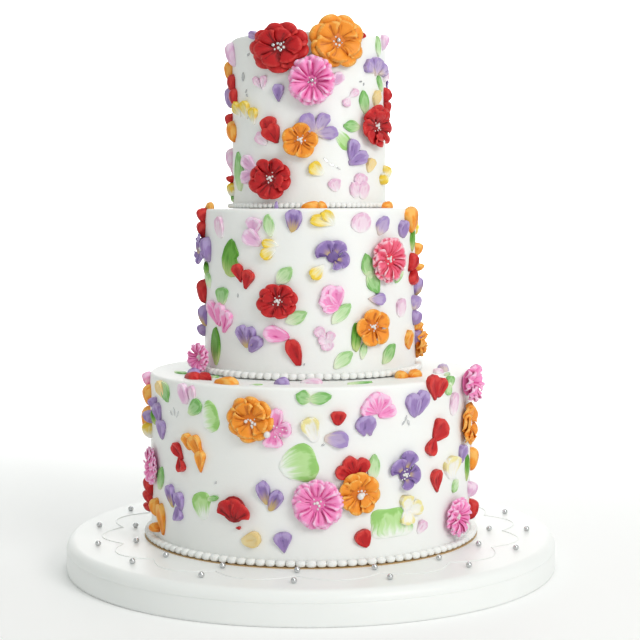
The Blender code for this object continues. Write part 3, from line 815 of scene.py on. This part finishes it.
def add_smear(bm, place, kind, turn, width, length, thick, draw, domed=False):
    """A petal or leaf laid with a palette knife: thin at its root, with a thick raised edge at its tip."""
    made = new_patch(bm, SMEAR_CELLS)
    wander = draw.uniform(0, 90)
    bow = draw.uniform(-0.12, 0.12)
    ridges = draw.uniform(3.0, 4.6)
    phase = draw.uniform(0, math.pi)
    spin = math.radians(-turn)
    flat = thick < FLAT_SMEAR
    folds = []
    for vert in made:
        x, y = rounded(vert.co.x, vert.co.y)
        reach = math.hypot(x, y)
        rise = ease(y, -1.1, 0.7)
        ragged = 1 + 0.1 * noise.noise(Vector((x * 1.9, y * 1.9, wander))) * reach * reach
        shaped_x, shaped_y = outline(kind, x * ragged, y * ragged)
        shaped_x += bow * (1 - shaped_y * shaped_y)
        # Ridges fan out from the root.
        groove = abs(math.cos(ridges * math.atan2(x, y + 1.3) * 2 + phase))
        rim = ease(reach, 0.35, 0.82) * (1 - 0.3 * ease(reach, 0.84, 1.0))
        if reach > 0.99:
            out = -SMEAR_SUNK
        elif flat:
            out = thick * (0.5 + 0.3 * rim + 0.2 * groove * (1 - rim))
        elif domed:
            out = thick * math.sqrt(1 - reach**3) * (0.62 + 0.3 * rise + 0.08 * groove)
        else:
            out = thick * (0.26 + 0.74 * rise) * (0.40 + 0.46 * rim + 0.22 * groove * (1 - 0.6 * rim))
        # Painted shading for the finish: dark in the grooves and the hollow middle, light on the ridges and
        # the raised rim, most of all towards the tip.
        folds.append(0.08 + (0.25 + 0.5 * rise) * rim + 0.46 * groove)
        across = shaped_x * width / 2
        along = shaped_y * length / 2
        turned_x = across * math.cos(spin) - along * math.sin(spin)
        turned_y = across * math.sin(spin) + along * math.cos(spin)
        vert.co = place(turned_x, turned_y, out)
    mark(bm, made, folds, draw.random())


def add_flower_petal(bm, place, heading, spread, row, size, depth, stretch, draw, share=1.0):
    """One petal of a piped flower: pleats fan out from the middle to a lip that curls up at the rim."""
    made = new_patch(bm, PETAL_CELLS)
    reach = size * row.reach * share * draw.uniform(0.94, 1.0)
    pleats = row.folds * draw.uniform(0.85, 1.15)
    phase = draw.uniform(-0.5, 0.5)
    lean = row.lean * draw.uniform(0.7, 1.2)
    lift = draw.uniform(-0.05, 0.05)
    folds = []
    for vert in made:
        side = vert.co.x
        along = (vert.co.y + 1) / 2
        crest = abs(math.cos(pleats * math.pi * side / 2 + phase)) ** 0.8
        edge = 1 - 0.2 * abs(side) ** 3 - 0.04 * (1 - crest)
        distance = reach * (0.05 + 0.95 * along * (1 - along * (1 - edge)))
        turn = heading + spread * side * (0.5 + 0.5 * along)
        body = ease(along, 0.04, 0.62)
        lip = ease(along, 0.72, 0.94)
        free = ease(side, 0.62, 0.92) * ease(along, 0.2, 0.6)
        hollow = max(abs(side), along) if row.cup else 0
        out = row.low + lift + (row.high - row.low) * body
        out += row.ruffle * (2 * crest - 1) * ease(along, 0.08, 0.7)
        out += lean * side * 0.5 * along
        out += row.lip * (lip - 1.4 * ease(along, 0.9, 1.0)) * (0.7 + 0.3 * crest)
        out += row.cup * (ease(hollow, 0.45, 0.95) - 0.5)
        # Painted shading for the finish: dark in the pleats' hollows and near the middle, light along the
        # crests, on the rim and on the lifted free side.
        rim = ease(along, 0.80, 0.95)
        shade = (0.06 + 0.44 * crest) * (0.35 + 0.65 * body)
        folds.append(shade + 0.6 * rim + 0.4 * free - 0.3 * ease(0.3 - along, 0, 0.3))
        vert.co = place(distance * math.sin(turn) * stretch, distance * math.cos(turn), max(out, 0.1) * depth)
    mark(bm, made, folds, draw.random())


def add_flower_heart(bm, place, size, depth, stretch):
    """The mound of icing that the petals are piped on to, which closes the flower to the wall."""
    made = bmesh.ops.create_uvsphere(bm, u_segments=16, v_segments=8, radius=1)["verts"]
    for vert in made:
        x, y, out = vert.co
        raised = FLOWER_OFF_WALL + (0.5 + 0.5 * out) * depth * HEART_HEIGHT
        vert.co = place(x * size * stretch, y * size, raised)
    # The mound is marked as a hollow, so it takes the deep colour: painted shade in the flower's middle.
    mark(bm, made, [0.2] * len(made), 0.5)


def place_of(node):
    """Where a flower's flat coordinates come to lie."""
    tier, angle, height = FLOWERS[node][:3]
    if node != LEDGE_FLOWER:
        return on_wall(tier, angle, height * MM)
    seat = on_wall(tier, angle, height * MM)(0, 0, LEDGE_FLOWER_STANDS_OFF)
    upright = Matrix.Rotation(LEDGE_FLOWER_FACES, 3, "Z") @ Matrix.Rotation(math.radians(90), 3, "X")
    return lambda across, up, out: seat + upright @ Vector((across, up, out))


def moved_place(place, aside, above):
    """The same surface with its flat coordinates counted from a point to the side and above."""
    return lambda across, up, out: place(across + aside, up + above, out)


def make_flower(node, materials, draw):
    """One piped flower, which stands for its CAD solid."""
    size, depth, kind, stretch = FLOWERS[node][3:]
    size, depth = size * MM, depth * MM
    icing = node.split("_")[1]
    seat = place_of(node)
    bm = new_shape()
    if kind in PART_FLOWERS:
        petals, (aside, above), mound = PART_FLOWERS[kind]
        root = moved_place(seat, aside * size, above * size)
        for heading, half, share in petals:
            turn, spread = math.radians(heading), math.radians(half)
            add_flower_petal(bm, root, turn, spread, ROWS[kind][0], size, depth, stretch, draw, share)
        aside, above, share = mound
        add_flower_heart(bm, moved_place(seat, aside * size, above * size), size * share, depth, stretch)
    else:
        for row in ROWS[kind]:
            first = draw.uniform(0, 2 * math.pi)
            spread = math.pi / row.petals * row.spread
            for number in range(row.petals):
                heading = first + 2 * math.pi * (number + draw.uniform(-0.12, 0.12)) / row.petals
                add_flower_petal(bm, seat, heading, spread, row, size, depth, stretch, draw)
        add_flower_heart(bm, seat, size * HEART_RADIUS, depth, stretch)
    bmesh.ops.recalc_face_normals(bm, faces=bm.faces[:])
    name = node.replace("flower_", "") + "_flower"
    piece_of(name, bm, materials[icing], ICINGS[icing].slot, FLOWER_WALL, (node,))


def add_pearl(bm, centre, radius):
    """A small round pearl."""
    made = bmesh.ops.create_uvsphere(bm, u_segments=8, v_segments=6, radius=radius)["verts"]
    bmesh.ops.translate(bm, verts=made, vec=centre)


def make_petals(materials):
    """Every smeared petal and leaf, one piece for each icing."""
    shapes = {}
    draw = random.Random(PETAL_SEED)
    for tier in TIERS:
        for icing, kind, angle, height, turn, width, length in PETALS[tier.name]:
            domed = abs(angle) > SIDE_ANGLE
            thick = thickness(icing) * (SIDE_GAIN[tier.name] * draw.uniform(0.85, 1.05) if domed else 1)
            bm = shapes.setdefault(icing, new_shape())
            place = on_wall(tier, angle, height * MM)
            add_smear(bm, place, kind, turn, width * MM, length * MM, thick, draw, domed)
        for icing, kind, angle, distance, turn, width, length in LEDGE_PETALS[tier.name]:
            bm = shapes.setdefault(icing, new_shape())
            place = on_ledge(tier, angle, distance * MM)
            thick = thickness(icing) * (1 if "leaf" in icing else LEDGE_GAIN)
            add_smear(bm, place, kind, turn, width * MM, length * MM, thick, draw, "leaf" not in icing)
        for icing, kind, angle, height, turn, width, length in hidden_petals(tier):
            bm = shapes.setdefault(icing, new_shape())
            place = on_wall(tier, angle, height)
            add_smear(bm, place, kind, turn, width, length, thickness(icing), draw)
    for icing, bm in shapes.items():
        bmesh.ops.recalc_face_normals(bm, faces=bm.faces[:])
        name = icing + ("s" if "leaf" in icing else "_petals")
        piece_of(name, bm, materials[icing], ICINGS[icing].slot, SMEAR_WALL)


def thickness(icing):
    """How thick an icing is laid."""
    if icing == "green_wash":
        return WASH_THICKNESS
    if icing == "pale_pink":
        return PALE_PINK_THICKNESS
    return LEAF_THICKNESS if "leaf" in icing else PETAL_THICKNESS


def hidden_petals(tier):
    """The hidden side's petals: one to three where the solids have one, and small ones between."""
    draw = random.Random(BACK_SEED + TIERS.index(tier))
    pick = random.Random(BACK_PICK_SEED + TIERS.index(tier))
    rows, columns = BACK_GRID[tier.name]
    for row in range(rows):
        for column in range(columns):
            across = (column + 0.5 + draw.uniform(-0.3, 0.3)) / columns
            up = (row + 0.5 + draw.uniform(-0.3, 0.3)) / rows
            leafy = draw.random() < BACK_LEAF_SHARE
            width = draw.uniform(*BACK_WIDTHS) * (0.65 if leafy else 1) * MM
            length = draw.uniform(*BACK_LENGTHS) * (1.2 if leafy else 1) * MM
            turn = draw.uniform(-60, 60)
            angle = BACK_FROM + (BACK_TO - BACK_FROM) * across
            height = tier.height * (0.05 + 0.9 * up)
            height = max(width, min(height, tier.height - length / 2))
            if leafy:
                yield pick.choice(BACK_LEAVES), "leaf", angle, height, turn, width, length
                continue
            icing = pick.choice(BACK_ICINGS)
            for side in range(pick.randint(1, 3)):
                lean = turn + 48 * (side - 1)
                step = math.radians(lean)
                shift = math.degrees(0.3 * length * math.sin(step) / tier.radius)
                lift = 0.3 * length * math.cos(step)
                yield icing, "round", angle + shift, height + lift, lean, width * 0.72, length * 0.85
    small_ones = rows * columns * 2
    for number in range(small_ones):
        angle = BACK_FROM + (BACK_TO - BACK_FROM) * (number + pick.random()) / small_ones
        height = pick.uniform(18 * MM, tier.height - 12 * MM)
        if not beside_flowers(tier, angle, height):
            continue
        leafy = pick.random() < BACK_SMALL_LEAF_SHARE
        icing = pick.choice(BACK_LEAVES if leafy else BACK_ICINGS)
        size = pick.uniform(*BACK_SMALL_WIDTHS) * MM
        kind = "leaf" if leafy else "tear"
        yield icing, kind, angle, height, pick.uniform(-180, 180), size * 0.8, size * 1.3


def beside_flowers(tier, angle, height):
    """Whether a small petal there lies clear of every flower."""
    for home, flower_angle, flower_height, size, _, _, _ in FLOWERS.values():
        if home is not tier:
            continue
        aside = math.radians((angle - flower_angle + 180) % 360 - 180) * tier.radius
        if math.hypot(aside, height - flower_height * MM) < (size + BACK_CLEAR_OF_FLOWERS) * MM:
            return False
    return True


def turned(profile, steps):
    """Spin a profile of (radius, height) round the axis into a closed skin with its poles closed."""
    bm = bmesh.new()
    points = [bm.verts.new((radius, 0, height)) for radius, height in profile]
    for start, end in zip(points, points[1:]):
        bm.edges.new((start, end))
    line = bm.verts[:] + bm.edges[:]
    full = 2 * math.pi
    bmesh.ops.spin(bm, geom=line, angle=full, steps=steps, use_merge=True, axis=(0, 0, 1), cent=(0, 0, 0))
    bmesh.ops.remove_doubles(bm, verts=bm.verts[:], dist=0.01 * MM)
    bmesh.ops.recalc_face_normals(bm, faces=bm.faces[:])
    return bm


def quarter_round(radius, top, size, segments):
    """Points of a quarter round from a flat top to the wall."""
    for step in range(segments + 1):
        turn = math.radians(90) * step / segments
        yield radius - size + size * math.sin(turn), top - size + size * math.cos(turn)


def make_tier(tier, material):
    """The white icing of a tier, spread by hand: never quite even, with a soft rim."""
    rim = 3 * MM
    profile = [(share * tier.radius, tier.top) for share in (0, 0.3, 0.6, 0.85)]
    profile += list(quarter_round(tier.radius, tier.top, rim, 5))
    rows = 16
    for row in range(1, rows + 1):
        profile.append((tier.radius, tier.base + (tier.height - rim) * (1 - row / rows)))
    profile += [(0, tier.base)]
    bm = turned(profile, 144)
    for vert in bm.verts:
        if vert.co.z < tier.base + MM:
            continue
        uneven = noise.noise(Vector((vert.co.x * 14, vert.co.y * 14, vert.co.z * 34 + 9)))
        out = UNEVEN * (uneven - 0.35)
        away = math.hypot(vert.co.x, vert.co.y)
        if away > 0.9 * tier.radius:
            vert.co.x *= 1 + out / away
            vert.co.y *= 1 + out / away
        else:
            vert.co.z += out * 0.8
    piece_of(tier.name + "_icing", bm, material, "white_icing", 0, (tier.name + "_tier",))


def make_beads(tier, material):
    """A ring of piped beads, each a soft square pillow that touches the next."""
    count, reach, height = BEADS[tier.name]
    draw = random.Random(count)
    pitch = 2 * math.pi * (tier.radius + reach / 2) / count
    bm = bmesh.new()
    for number in range(count):
        made = bmesh.ops.create_uvsphere(bm, u_segments=10, v_segments=6, radius=1)["verts"]
        turn = 2 * math.pi * number / count
        plump = draw.uniform(0.92, 1.02)
        for vert in made:
            x, y, z = (math.copysign(abs(value) ** 0.78, value) for value in vert.co)
            across = x * pitch * 0.53 * plump
            out = reach * (0.42 + 0.54 * y * plump)
            up = height * (0.5 + 0.47 * z * plump)
            distance = tier.radius + out
            bearing = turn + across / (tier.radius + reach / 2)
            vert.co = around(distance, bearing, tier.base + up)
    piece_of(tier.name + "_beads", bm, material, "white_icing", 0, (tier.name + "_border",))


def make_board(material):
    """The board under its smooth sugar paste, with the seam line that shows round its side."""
    foot = 1.5 * MM
    profile = [(share * BOARD_RADIUS, BOARD_TOP) for share in (0, 0.3, 0.62, 0.8)]
    profile += list(quarter_round(BOARD_RADIUS, BOARD_TOP, BOARD_SHOULDER, 8))
    seam = BOARD_TOP - BOARD_SHOULDER - 1 * MM
    side = BOARD_RADIUS - 0.1 * MM
    profile += [(BOARD_RADIUS, seam), (BOARD_RADIUS - SEAM_DEPTH, seam - 0.5 * MM), (side, seam - 1.2 * MM)]
    profile += [(side, 11 * MM), (BOARD_RADIUS, 2 * foot), (BOARD_RADIUS - foot * 0.4, foot * 0.5)]
    profile += [(BOARD_RADIUS - foot, 0), (0, 0)]
    bm = turned(profile, 192)
    for vert in bm.verts:
        away = math.hypot(vert.co.x, vert.co.y)
        if 0 < away < 0.9 * BOARD_RADIUS and vert.co.z > BOARD_TOP / 2:
            vert.co.z -= BOARD_UNEVEN * abs(noise.noise(vert.co * 22))
    piece_of("board_paste", bm, material, "board_icing", 0, ("cake_board",))


def make_loops(material):
    """Fine piped loops on the board, from each pair of pearls to the next."""
    bm = bmesh.new()
    steps = 14
    for number in range(PAIRS):
        start = math.radians(PAIR_FIRST + 360 * number / PAIRS)
        for step in range(steps):
            ends = []
            for mark_at in (step, step + 1):
                along = mark_at / steps
                turn = start + 2 * math.pi / PAIRS * along
                away = LOOP_JOINT + (LOOP_SWING - LOOP_JOINT) * math.sin(math.pi * along)
                ends.append(around(away, turn, BOARD_TOP + LOOP_RAISED))
            add_thread(bm, *ends, LOOP_HALF_THICKNESS)
    piece_of("board_loops", bm, material, "white_icing")


def add_thread(bm, start, end, half):
    """A short round length of piped icing between two points."""
    run = end - start
    size = {"radius1": half, "radius2": half, "depth": run.length * 1.06}
    made = bmesh.ops.create_cone(bm, cap_ends=True, segments=6, **size)["verts"]
    bmesh.ops.rotate(bm, verts=made, cent=(0, 0, 0), matrix=run.to_track_quat("Z", "Y").to_matrix())
    bmesh.ops.translate(bm, verts=made, vec=(start + end) / 2)


def make_card(material):
    """The thin golden card under the bottom tier, which shows as a line below the beads."""
    inner = BOTTOM.radius - 2 * MM
    outer = BOTTOM.radius + CARD_SHOWS
    low, high = BOARD_TOP - CARD_OVERLAP, BOTTOM.base + CARD_OVERLAP
    bm = turned([(inner, high), (outer, high), (outer, low), (inner, low), (inner, high)], 120)
    piece_of("cake_card", bm, material, "board_icing")


def small_cluster(draw, size):
    """A few small white pearls about a flower's middle."""
    for number, radius in enumerate((1.6, 1.3, 1.2, 1.0, 0.9, 0.8, 0.8, 0.7, 0.7)):
        turn = number * 2.4 + draw.uniform(-0.4, 0.4)
        away = min(0.034 * number + 0.05, 0.3) * size
        yield away * math.sin(turn), away * math.cos(turn), radius, False


def make_pearls(silver, white):
    """Silver pearls on the board, and small ones of both kinds in the flowers' middles and on the walls."""
    bright = bmesh.new()
    pale = bmesh.new()
    draw = random.Random(PEARL_SEED)
    for distance in PEARL_RINGS:
        for number in range(PAIRS):
            turn = math.radians(PAIR_FIRST + 360 * number / PAIRS)
            add_pearl(bright, around(distance, turn, BOARD_TOP + BOARD_PEARL_RAISED), BOARD_PEARL)
    for node in FLOWERS:
        size, depth, kind, _ = FLOWERS[node][3:]
        if kind in ("folded", "open"):
            continue
        place = place_of(node)
        aside, above = PART_FLOWERS[kind][1] if kind in PART_FLOWERS else (0, 0)
        for across, up, radius, is_silver in PEARL_CLUSTERS.get(node, small_cluster(draw, size)):
            # A pearl sits on the mound, sunk in by a quarter of its radius.
            out = HEART_HEIGHT * depth + 0.75 * radius + 0.4
            centre = place((across + aside * size) * MM, (up + above * size) * MM, out * MM)
            add_pearl(bright if is_silver else pale, centre, radius * MM)
    for tier, angle, height, radius in LOOSE_PEARLS:
        place = on_wall(tier, angle, height * MM)
        add_pearl(pale, place(0, 0, LOOSE_PEARL_REST + radius * MM), radius * MM)
    piece_of("silver_pearls", bright, silver, "silver_pearls")
    piece_of("white_pearls", pale, white, "white_pearls")


def make_flecks(material):
    """Small flecks of silver leaf, lying flat on the walls."""
    bm = new_shape()
    draw = random.Random(FLECK_SEED)
    for tier, angle, height, turn, width, length in FLECKS:
        place = on_wall(tier, angle, height * MM)
        add_smear(bm, place, "leaf", turn, width * MM, length * MM, FLECK_THICKNESS, draw)
    bmesh.ops.recalc_face_normals(bm, faces=bm.faces[:])
    piece_of("silver_leaf", bm, material, "silver_pearls", FLECK_WALL)


def node_group(name, inputs, outputs):
    """A shader group with named inputs and outputs: (name, kind, default) and (name, kind)."""
    group = bpy.data.node_groups.new(name, "ShaderNodeTree")
    for label, kind, default in inputs:
        socket = group.interface.new_socket(label, in_out="INPUT", socket_type=kind)
        socket.default_value = default
    for label, kind in outputs:
        group.interface.new_socket(label, in_out="OUTPUT", socket_type=kind)
    return group, group.nodes.new("NodeGroupInput"), group.nodes.new("NodeGroupOutput")


def step_between(tree, value, low, high):
    """A value eased from 0 at low to 1 at high."""
    made = tree.nodes.new("ShaderNodeMapRange")
    made.interpolation_type = "SMOOTHSTEP"
    made.inputs["From Min"].default_value = low
    made.inputs["From Max"].default_value = high
    tree.links.new(value, made.inputs["Value"])
    return made.outputs["Result"]


def mixed(tree, factor, first, second):
    """A blend of two colours, each a socket or a set colour."""
    made = tree.nodes.new("ShaderNodeMix")
    made.data_type = "RGBA"
    tree.links.new(factor, made.inputs["Factor"])
    for source, socket in ((first, made.inputs["A"]), (second, made.inputs["B"])):
        if isinstance(source, tuple):
            socket.default_value = (*source, 1)
        else:
            tree.links.new(source, socket)
    return made.outputs["Result"]


def sums_in(tree):
    """A function that adds a sum of two values, each a socket or a number, to a tree of nodes."""

    def joined(operation, first, second):
        made = tree.nodes.new("ShaderNodeMath")
        made.operation = operation
        for source, socket in ((first, made.inputs[0]), (second, made.inputs[1])):
            if isinstance(source, (int, float)):
                socket.default_value = source
            else:
                tree.links.new(source, socket)
        return made.outputs["Value"]

    return joined


def object_point(tree):
    """Coordinates that stay with the piece."""
    return tree.nodes.new("ShaderNodeTexCoord").outputs["Object"]


def stretched(tree, point, scale):
    """Coordinates scaled along each axis."""
    made = tree.nodes.new("ShaderNodeMapping")
    made.inputs["Scale"].default_value = scale
    tree.links.new(point, made.inputs["Vector"])
    return made.outputs["Vector"]


def noise_at(tree, point, scale, detail=2):
    """A noise texture at the given coordinates."""
    made = tree.nodes.new("ShaderNodeTexNoise")
    made.inputs["Scale"].default_value = scale
    made.inputs["Detail"].default_value = detail
    tree.links.new(point, made.inputs["Vector"])
    return made


def emboss(tree, shader, relief, strength, depth):
    """Give a finish its fine relief."""
    bump = tree.nodes.new("ShaderNodeBump")
    bump.inputs["Strength"].default_value = strength
    bump.inputs["Distance"].default_value = depth
    tree.links.new(relief, bump.inputs["Height"])
    tree.links.new(bump.outputs["Normal"], shader.inputs["Normal"])


def petal_look():
    """Buttercream pulled by a knife: the deep colour in the folds, painted shade on all but the yellow, a
    body colour, edges that are a painted highlight where they are lighter than the body, and streaks from the
    root.
    """
    tree, given, out = node_group(
        "petal_look",
        (
            ("Deep", "NodeSocketColor", (0, 0, 0, 1)),
            ("Body", "NodeSocketColor", (0.5, 0.5, 0.5, 1)),
            ("Edge", "NodeSocketColor", (1, 1, 1, 1)),
            ("Root", "NodeSocketColor", (1, 1, 1, 1)),
            ("Root reach", "NodeSocketFloat", 0.3),
            ("Root width", "NodeSocketFloat", WHOLE_WIDTH),
        ),
        (("Colour", "NodeSocketColor"), ("Relief", "NodeSocketFloat")),
    )
    joined = sums_in(tree)
    painted_shading = tree.nodes.new("ShaderNodeAttribute")
    painted_shading.attribute_name = "painted_shading"
    tint = tree.nodes.new("ShaderNodeAttribute")
    tint.attribute_name = "tint"
    where = tree.nodes.new("ShaderNodeUVMap")
    where.uv_map = "petal"
    parts = tree.nodes.new("ShaderNodeSeparateXYZ")
    tree.links.new(where.outputs["UV"], parts.inputs["Vector"])
    streak = noise_at(tree, stretched(tree, where.outputs["UV"], (11, 1.1, 1)), 1.6, 3)
    streak.noise_dimensions = "4D"
    tree.links.new(joined("MULTIPLY", tint.outputs["Fac"], 40), streak.inputs["W"])
    cloud = noise_at(tree, object_point(tree), 260)

    centred = joined("SUBTRACT", streak.outputs["Fac"], 0.5)
    stirred = joined("SUBTRACT", cloud.outputs["Fac"], 0.5)
    raised = joined("ADD", painted_shading.outputs["Fac"], joined("MULTIPLY", centred, 0.9))
    raised = joined("ADD", raised, joined("MULTIPLY", stirred, 0.25))
    # Low painted shading takes the deep colour, which is painted shade. High painted shading takes the edge
    # colour, which is a painted highlight on the brighter icings.
    body = step_between(tree, raised, 0.0, 0.45)
    edge = step_between(tree, raised, 0.62, 1.05)
    colour = mixed(tree, body, given.outputs["Deep"], given.outputs["Body"])
    colour = mixed(tree, edge, colour, given.outputs["Edge"])
    along = joined("ADD", parts.outputs["Y"], joined("MULTIPLY", centred, 0.7))
    share = joined("DIVIDE", along, given.outputs["Root reach"])
    rooted = step_between(tree, share, 1.1, 0.35)
    aside = joined("ABSOLUTE", joined("SUBTRACT", parts.outputs["X"], 0.5), 0)
    aside = joined("ADD", aside, joined("MULTIPLY", centred, -0.4))
    narrow = joined("DIVIDE", aside, given.outputs["Root width"])
    rooted = joined("MULTIPLY", rooted, step_between(tree, narrow, 1.0, 0.5))
    colour = mixed(tree, rooted, colour, given.outputs["Root"])
    tree.links.new(colour, out.inputs["Colour"])
    strokes = joined("MULTIPLY", streak.outputs["Fac"], 0.8)
    relief = joined("ADD", strokes, joined("MULTIPLY", cloud.outputs["Fac"], 0.3))
    tree.links.new(relief, out.inputs["Relief"])
    return tree


def new_material(name):
    """A material with its tree of nodes and its shader."""
    material = bpy.data.materials.new(name)
    material.use_nodes = True
    tree = material.node_tree
    return material, tree, tree.nodes["Principled BSDF"]


def use_look(tree, look):
    """A shared group of nodes, used in a material."""
    used = tree.nodes.new("ShaderNodeGroup")
    used.node_tree = look
    return used


def petal_icing(name, look):
    """Coloured buttercream."""
    icing = ICINGS[name]
    material, tree, shader = new_material(name + "_buttercream")
    used = use_look(tree, look)
    for label in ("Deep", "Body", "Edge", "Root"):
        used.inputs[label].default_value = (*getattr(icing, label.lower()), 1)
    used.inputs["Root reach"].default_value = icing.root_reach
    used.inputs["Root width"].default_value = ROOT_WIDTH.get(name, WHOLE_WIDTH)
    tree.links.new(used.outputs["Colour"], shader.inputs["Base Color"])
    emboss(tree, shader, used.outputs["Relief"], 0.5, 0.6 * MM)
    shader.inputs["Roughness"].default_value = 0.44
    shader.inputs["Specular IOR Level"].default_value = 0.32
    shader.inputs["Subsurface Weight"].default_value = 0.12
    shader.inputs["Subsurface Radius"].default_value = (1.0, 0.6, 0.5)
    shader.inputs["Subsurface Scale"].default_value = 1.5 * MM
    return material


def spread_look():
    """Icing smoothed with a scraper: long faint strokes round the cake and a fine grain."""
    tree, given, out = node_group(
        "spread_look",
        (("Stroke", "NodeSocketFloat", 1.0), ("Grain", "NodeSocketFloat", 1.0)),
        (("Relief", "NodeSocketFloat"), ("Cloud", "NodeSocketFloat")),
    )
    joined = sums_in(tree)
    point = object_point(tree)
    strokes = noise_at(tree, stretched(tree, point, (9, 9, 60)), 1.5, 4)
    grain = noise_at(tree, point, 420, 3)
    cloud = noise_at(tree, point, 22, 3)
    drawn = joined("MULTIPLY", strokes.outputs["Fac"], given.outputs["Stroke"])
    rough = joined("MULTIPLY", grain.outputs["Fac"], given.outputs["Grain"])
    tree.links.new(joined("ADD", drawn, rough), out.inputs["Relief"])
    tree.links.new(cloud.outputs["Fac"], out.inputs["Cloud"])
    return tree


def white_icing(name, look, light, shade, roughness, stroke, grain):
    """White icing or sugar paste: two close whites, faint strokes and grain."""
    material, tree, shader = new_material(name)
    used = use_look(tree, look)
    used.inputs["Stroke"].default_value = stroke
    used.inputs["Grain"].default_value = grain
    tree.links.new(mixed(tree, used.outputs["Cloud"], shade, light), shader.inputs["Base Color"])
    emboss(tree, shader, used.outputs["Relief"], 0.35, 0.8 * MM)
    shader.inputs["Roughness"].default_value = roughness
    shader.inputs["Specular IOR Level"].default_value = 0.4
    shader.inputs["Subsurface Weight"].default_value = 0.1
    shader.inputs["Subsurface Radius"].default_value = (1.0, 0.9, 0.8)
    shader.inputs["Subsurface Scale"].default_value = 2 * MM
    return material


def pearl_coat(name, colour, metallic, roughness):
    """A sugar pearl's shell, a little clouded."""
    material, tree, shader = new_material(name)
    cloud = noise_at(tree, object_point(tree), 500)
    dim = tuple(value * 0.8 for value in colour)
    tree.links.new(mixed(tree, cloud.outputs["Fac"], dim, colour), shader.inputs["Base Color"])
    shader.inputs["Metallic"].default_value = metallic
    shader.inputs["Roughness"].default_value = roughness
    return material


def golden_card(name):
    """Gold-faced card, a little uneven."""
    material, tree, shader = new_material(name)
    cloud = noise_at(tree, object_point(tree), 90)
    gold = mixed(tree, cloud.outputs["Fac"], (0.42, 0.25, 0.10), (0.62, 0.42, 0.20))
    tree.links.new(gold, shader.inputs["Base Color"])
    shader.inputs["Roughness"].default_value = 0.5
    return material


def make_stage():
    """A plain pale floor that curves up behind."""
    bm = bmesh.new()
    half, rise, bend = 5.0, 4.0, 1.0
    profile = [(-half, 0), (half - bend, 0)]
    for degrees in range(15, 91, 15):
        turn = math.radians(degrees)
        profile.append((half - bend + bend * math.sin(turn), bend - bend * math.cos(turn)))
    profile += [(half, rise)]
    points = [bm.verts.new((-half, along, up)) for along, up in profile]
    edges = [bm.edges.new(pair) for pair in zip(points, points[1:])]
    swept = bmesh.ops.extrude_edge_only(bm, edges=edges)["geom"]
    far_side = [item for item in swept if isinstance(item, bmesh.types.BMVert)]
    bmesh.ops.translate(bm, verts=far_side, vec=(2 * half, 0, 0))
    bmesh.ops.recalc_face_normals(bm, faces=bm.faces[:])
    material, tree, shader = new_material("floor_white")
    shader.inputs["Base Color"].default_value = (0.95, 0.95, 0.95, 1)
    shader.inputs["Roughness"].default_value = 0.9
    floor = put_in_scene("floor", mesh_of("floor", bm, material))


def soft_light(name, place, aim, size, power, colour=(1, 1, 1)):
    """A round soft lamp that points at its aim."""
    lamp = bpy.data.lights.new(name, "AREA")
    lamp.shape = "DISK"
    lamp.size = size
    lamp.energy = power
    lamp.color = colour
    thing = put_in_scene(name, lamp)
    thing.location = place
    thing.rotation_euler = (Vector(aim) - Vector(place)).to_track_quat("-Z", "Y").to_euler()


def light_scene():
    """Soft light from the front right and above, a lit backdrop, and a pale sky."""
    soft_light("key", (1.5, -2.0, 1.4), (0, 0, 0.25), 1.2, 28, (1.0, 0.985, 0.975))
    soft_light("above", (0.2, -0.3, 2.4), (0, 0, 0.3), 1.2, 9)
    soft_light("backdrop", (0, 2.2, 2.6), (0, 4.5, 0.6), 2.0, 160)
    world = bpy.data.worlds.new("studio")
    world.use_nodes = True
    sky = world.node_tree.nodes["Background"]
    sky.inputs["Color"].default_value = (0.965, 1.0, 0.965, 1)
    sky.inputs["Strength"].default_value = 0.58
    bpy.context.scene.world = world
    bpy.context.scene.view_settings.view_transform = "Standard"


def set_camera():
    """The photograph's view: a little above the middle tier's top, looking slightly down."""
    lens = bpy.data.cameras.new("camera")
    lens.lens = LENS
    lens.sensor_width = SENSOR
    camera = put_in_scene("camera", lens)
    camera.location = CAMERA_PLACE
    aim = Matrix.Rotation(math.radians(CAMERA_TURN), 3, "Z")
    aim = aim @ Matrix.Rotation(math.radians(90 - CAMERA_DIP), 3, "X")
    camera.rotation_euler = (aim @ Matrix.Rotation(math.radians(CAMERA_ROLL), 3, "Z")).to_euler()
    bpy.context.scene.camera = camera


def main():
    """Set up the studio, then make the cake from the board up."""
    set_camera()
    light_scene()
    make_stage()
    look = petal_look()
    materials = {name: petal_icing(name, look) for name in ICINGS}
    spread = spread_look()
    lit, shaded = (0.905, 0.91, 0.895), (0.865, 0.875, 0.855)
    white = white_icing("white_buttercream", spread, lit, shaded, roughness=0.5, stroke=1.0, grain=0.25)
    lit, shaded = (0.88, 0.89, 0.88), (0.84, 0.86, 0.845)
    paste = white_icing("board_sugar_paste", spread, lit, shaded, roughness=0.4, stroke=0.15, grain=0.1)
    make_board(paste)
    make_loops(paste)
    make_card(golden_card("gold_card"))
    for tier in TIERS:
        make_tier(tier, white)
        make_beads(tier, white)
    make_petals(materials)
    draw = random.Random(FLOWER_SEED)
    for node in FLOWERS:
        make_flower(node, materials, draw)
    silver = pearl_coat("silver_coat", (0.72, 0.73, 0.74), 1, 0.2)
    make_pearls(silver, pearl_coat("white_coat", (0.88, 0.87, 0.85), 0, 0.25))
    make_flecks(silver)


main()
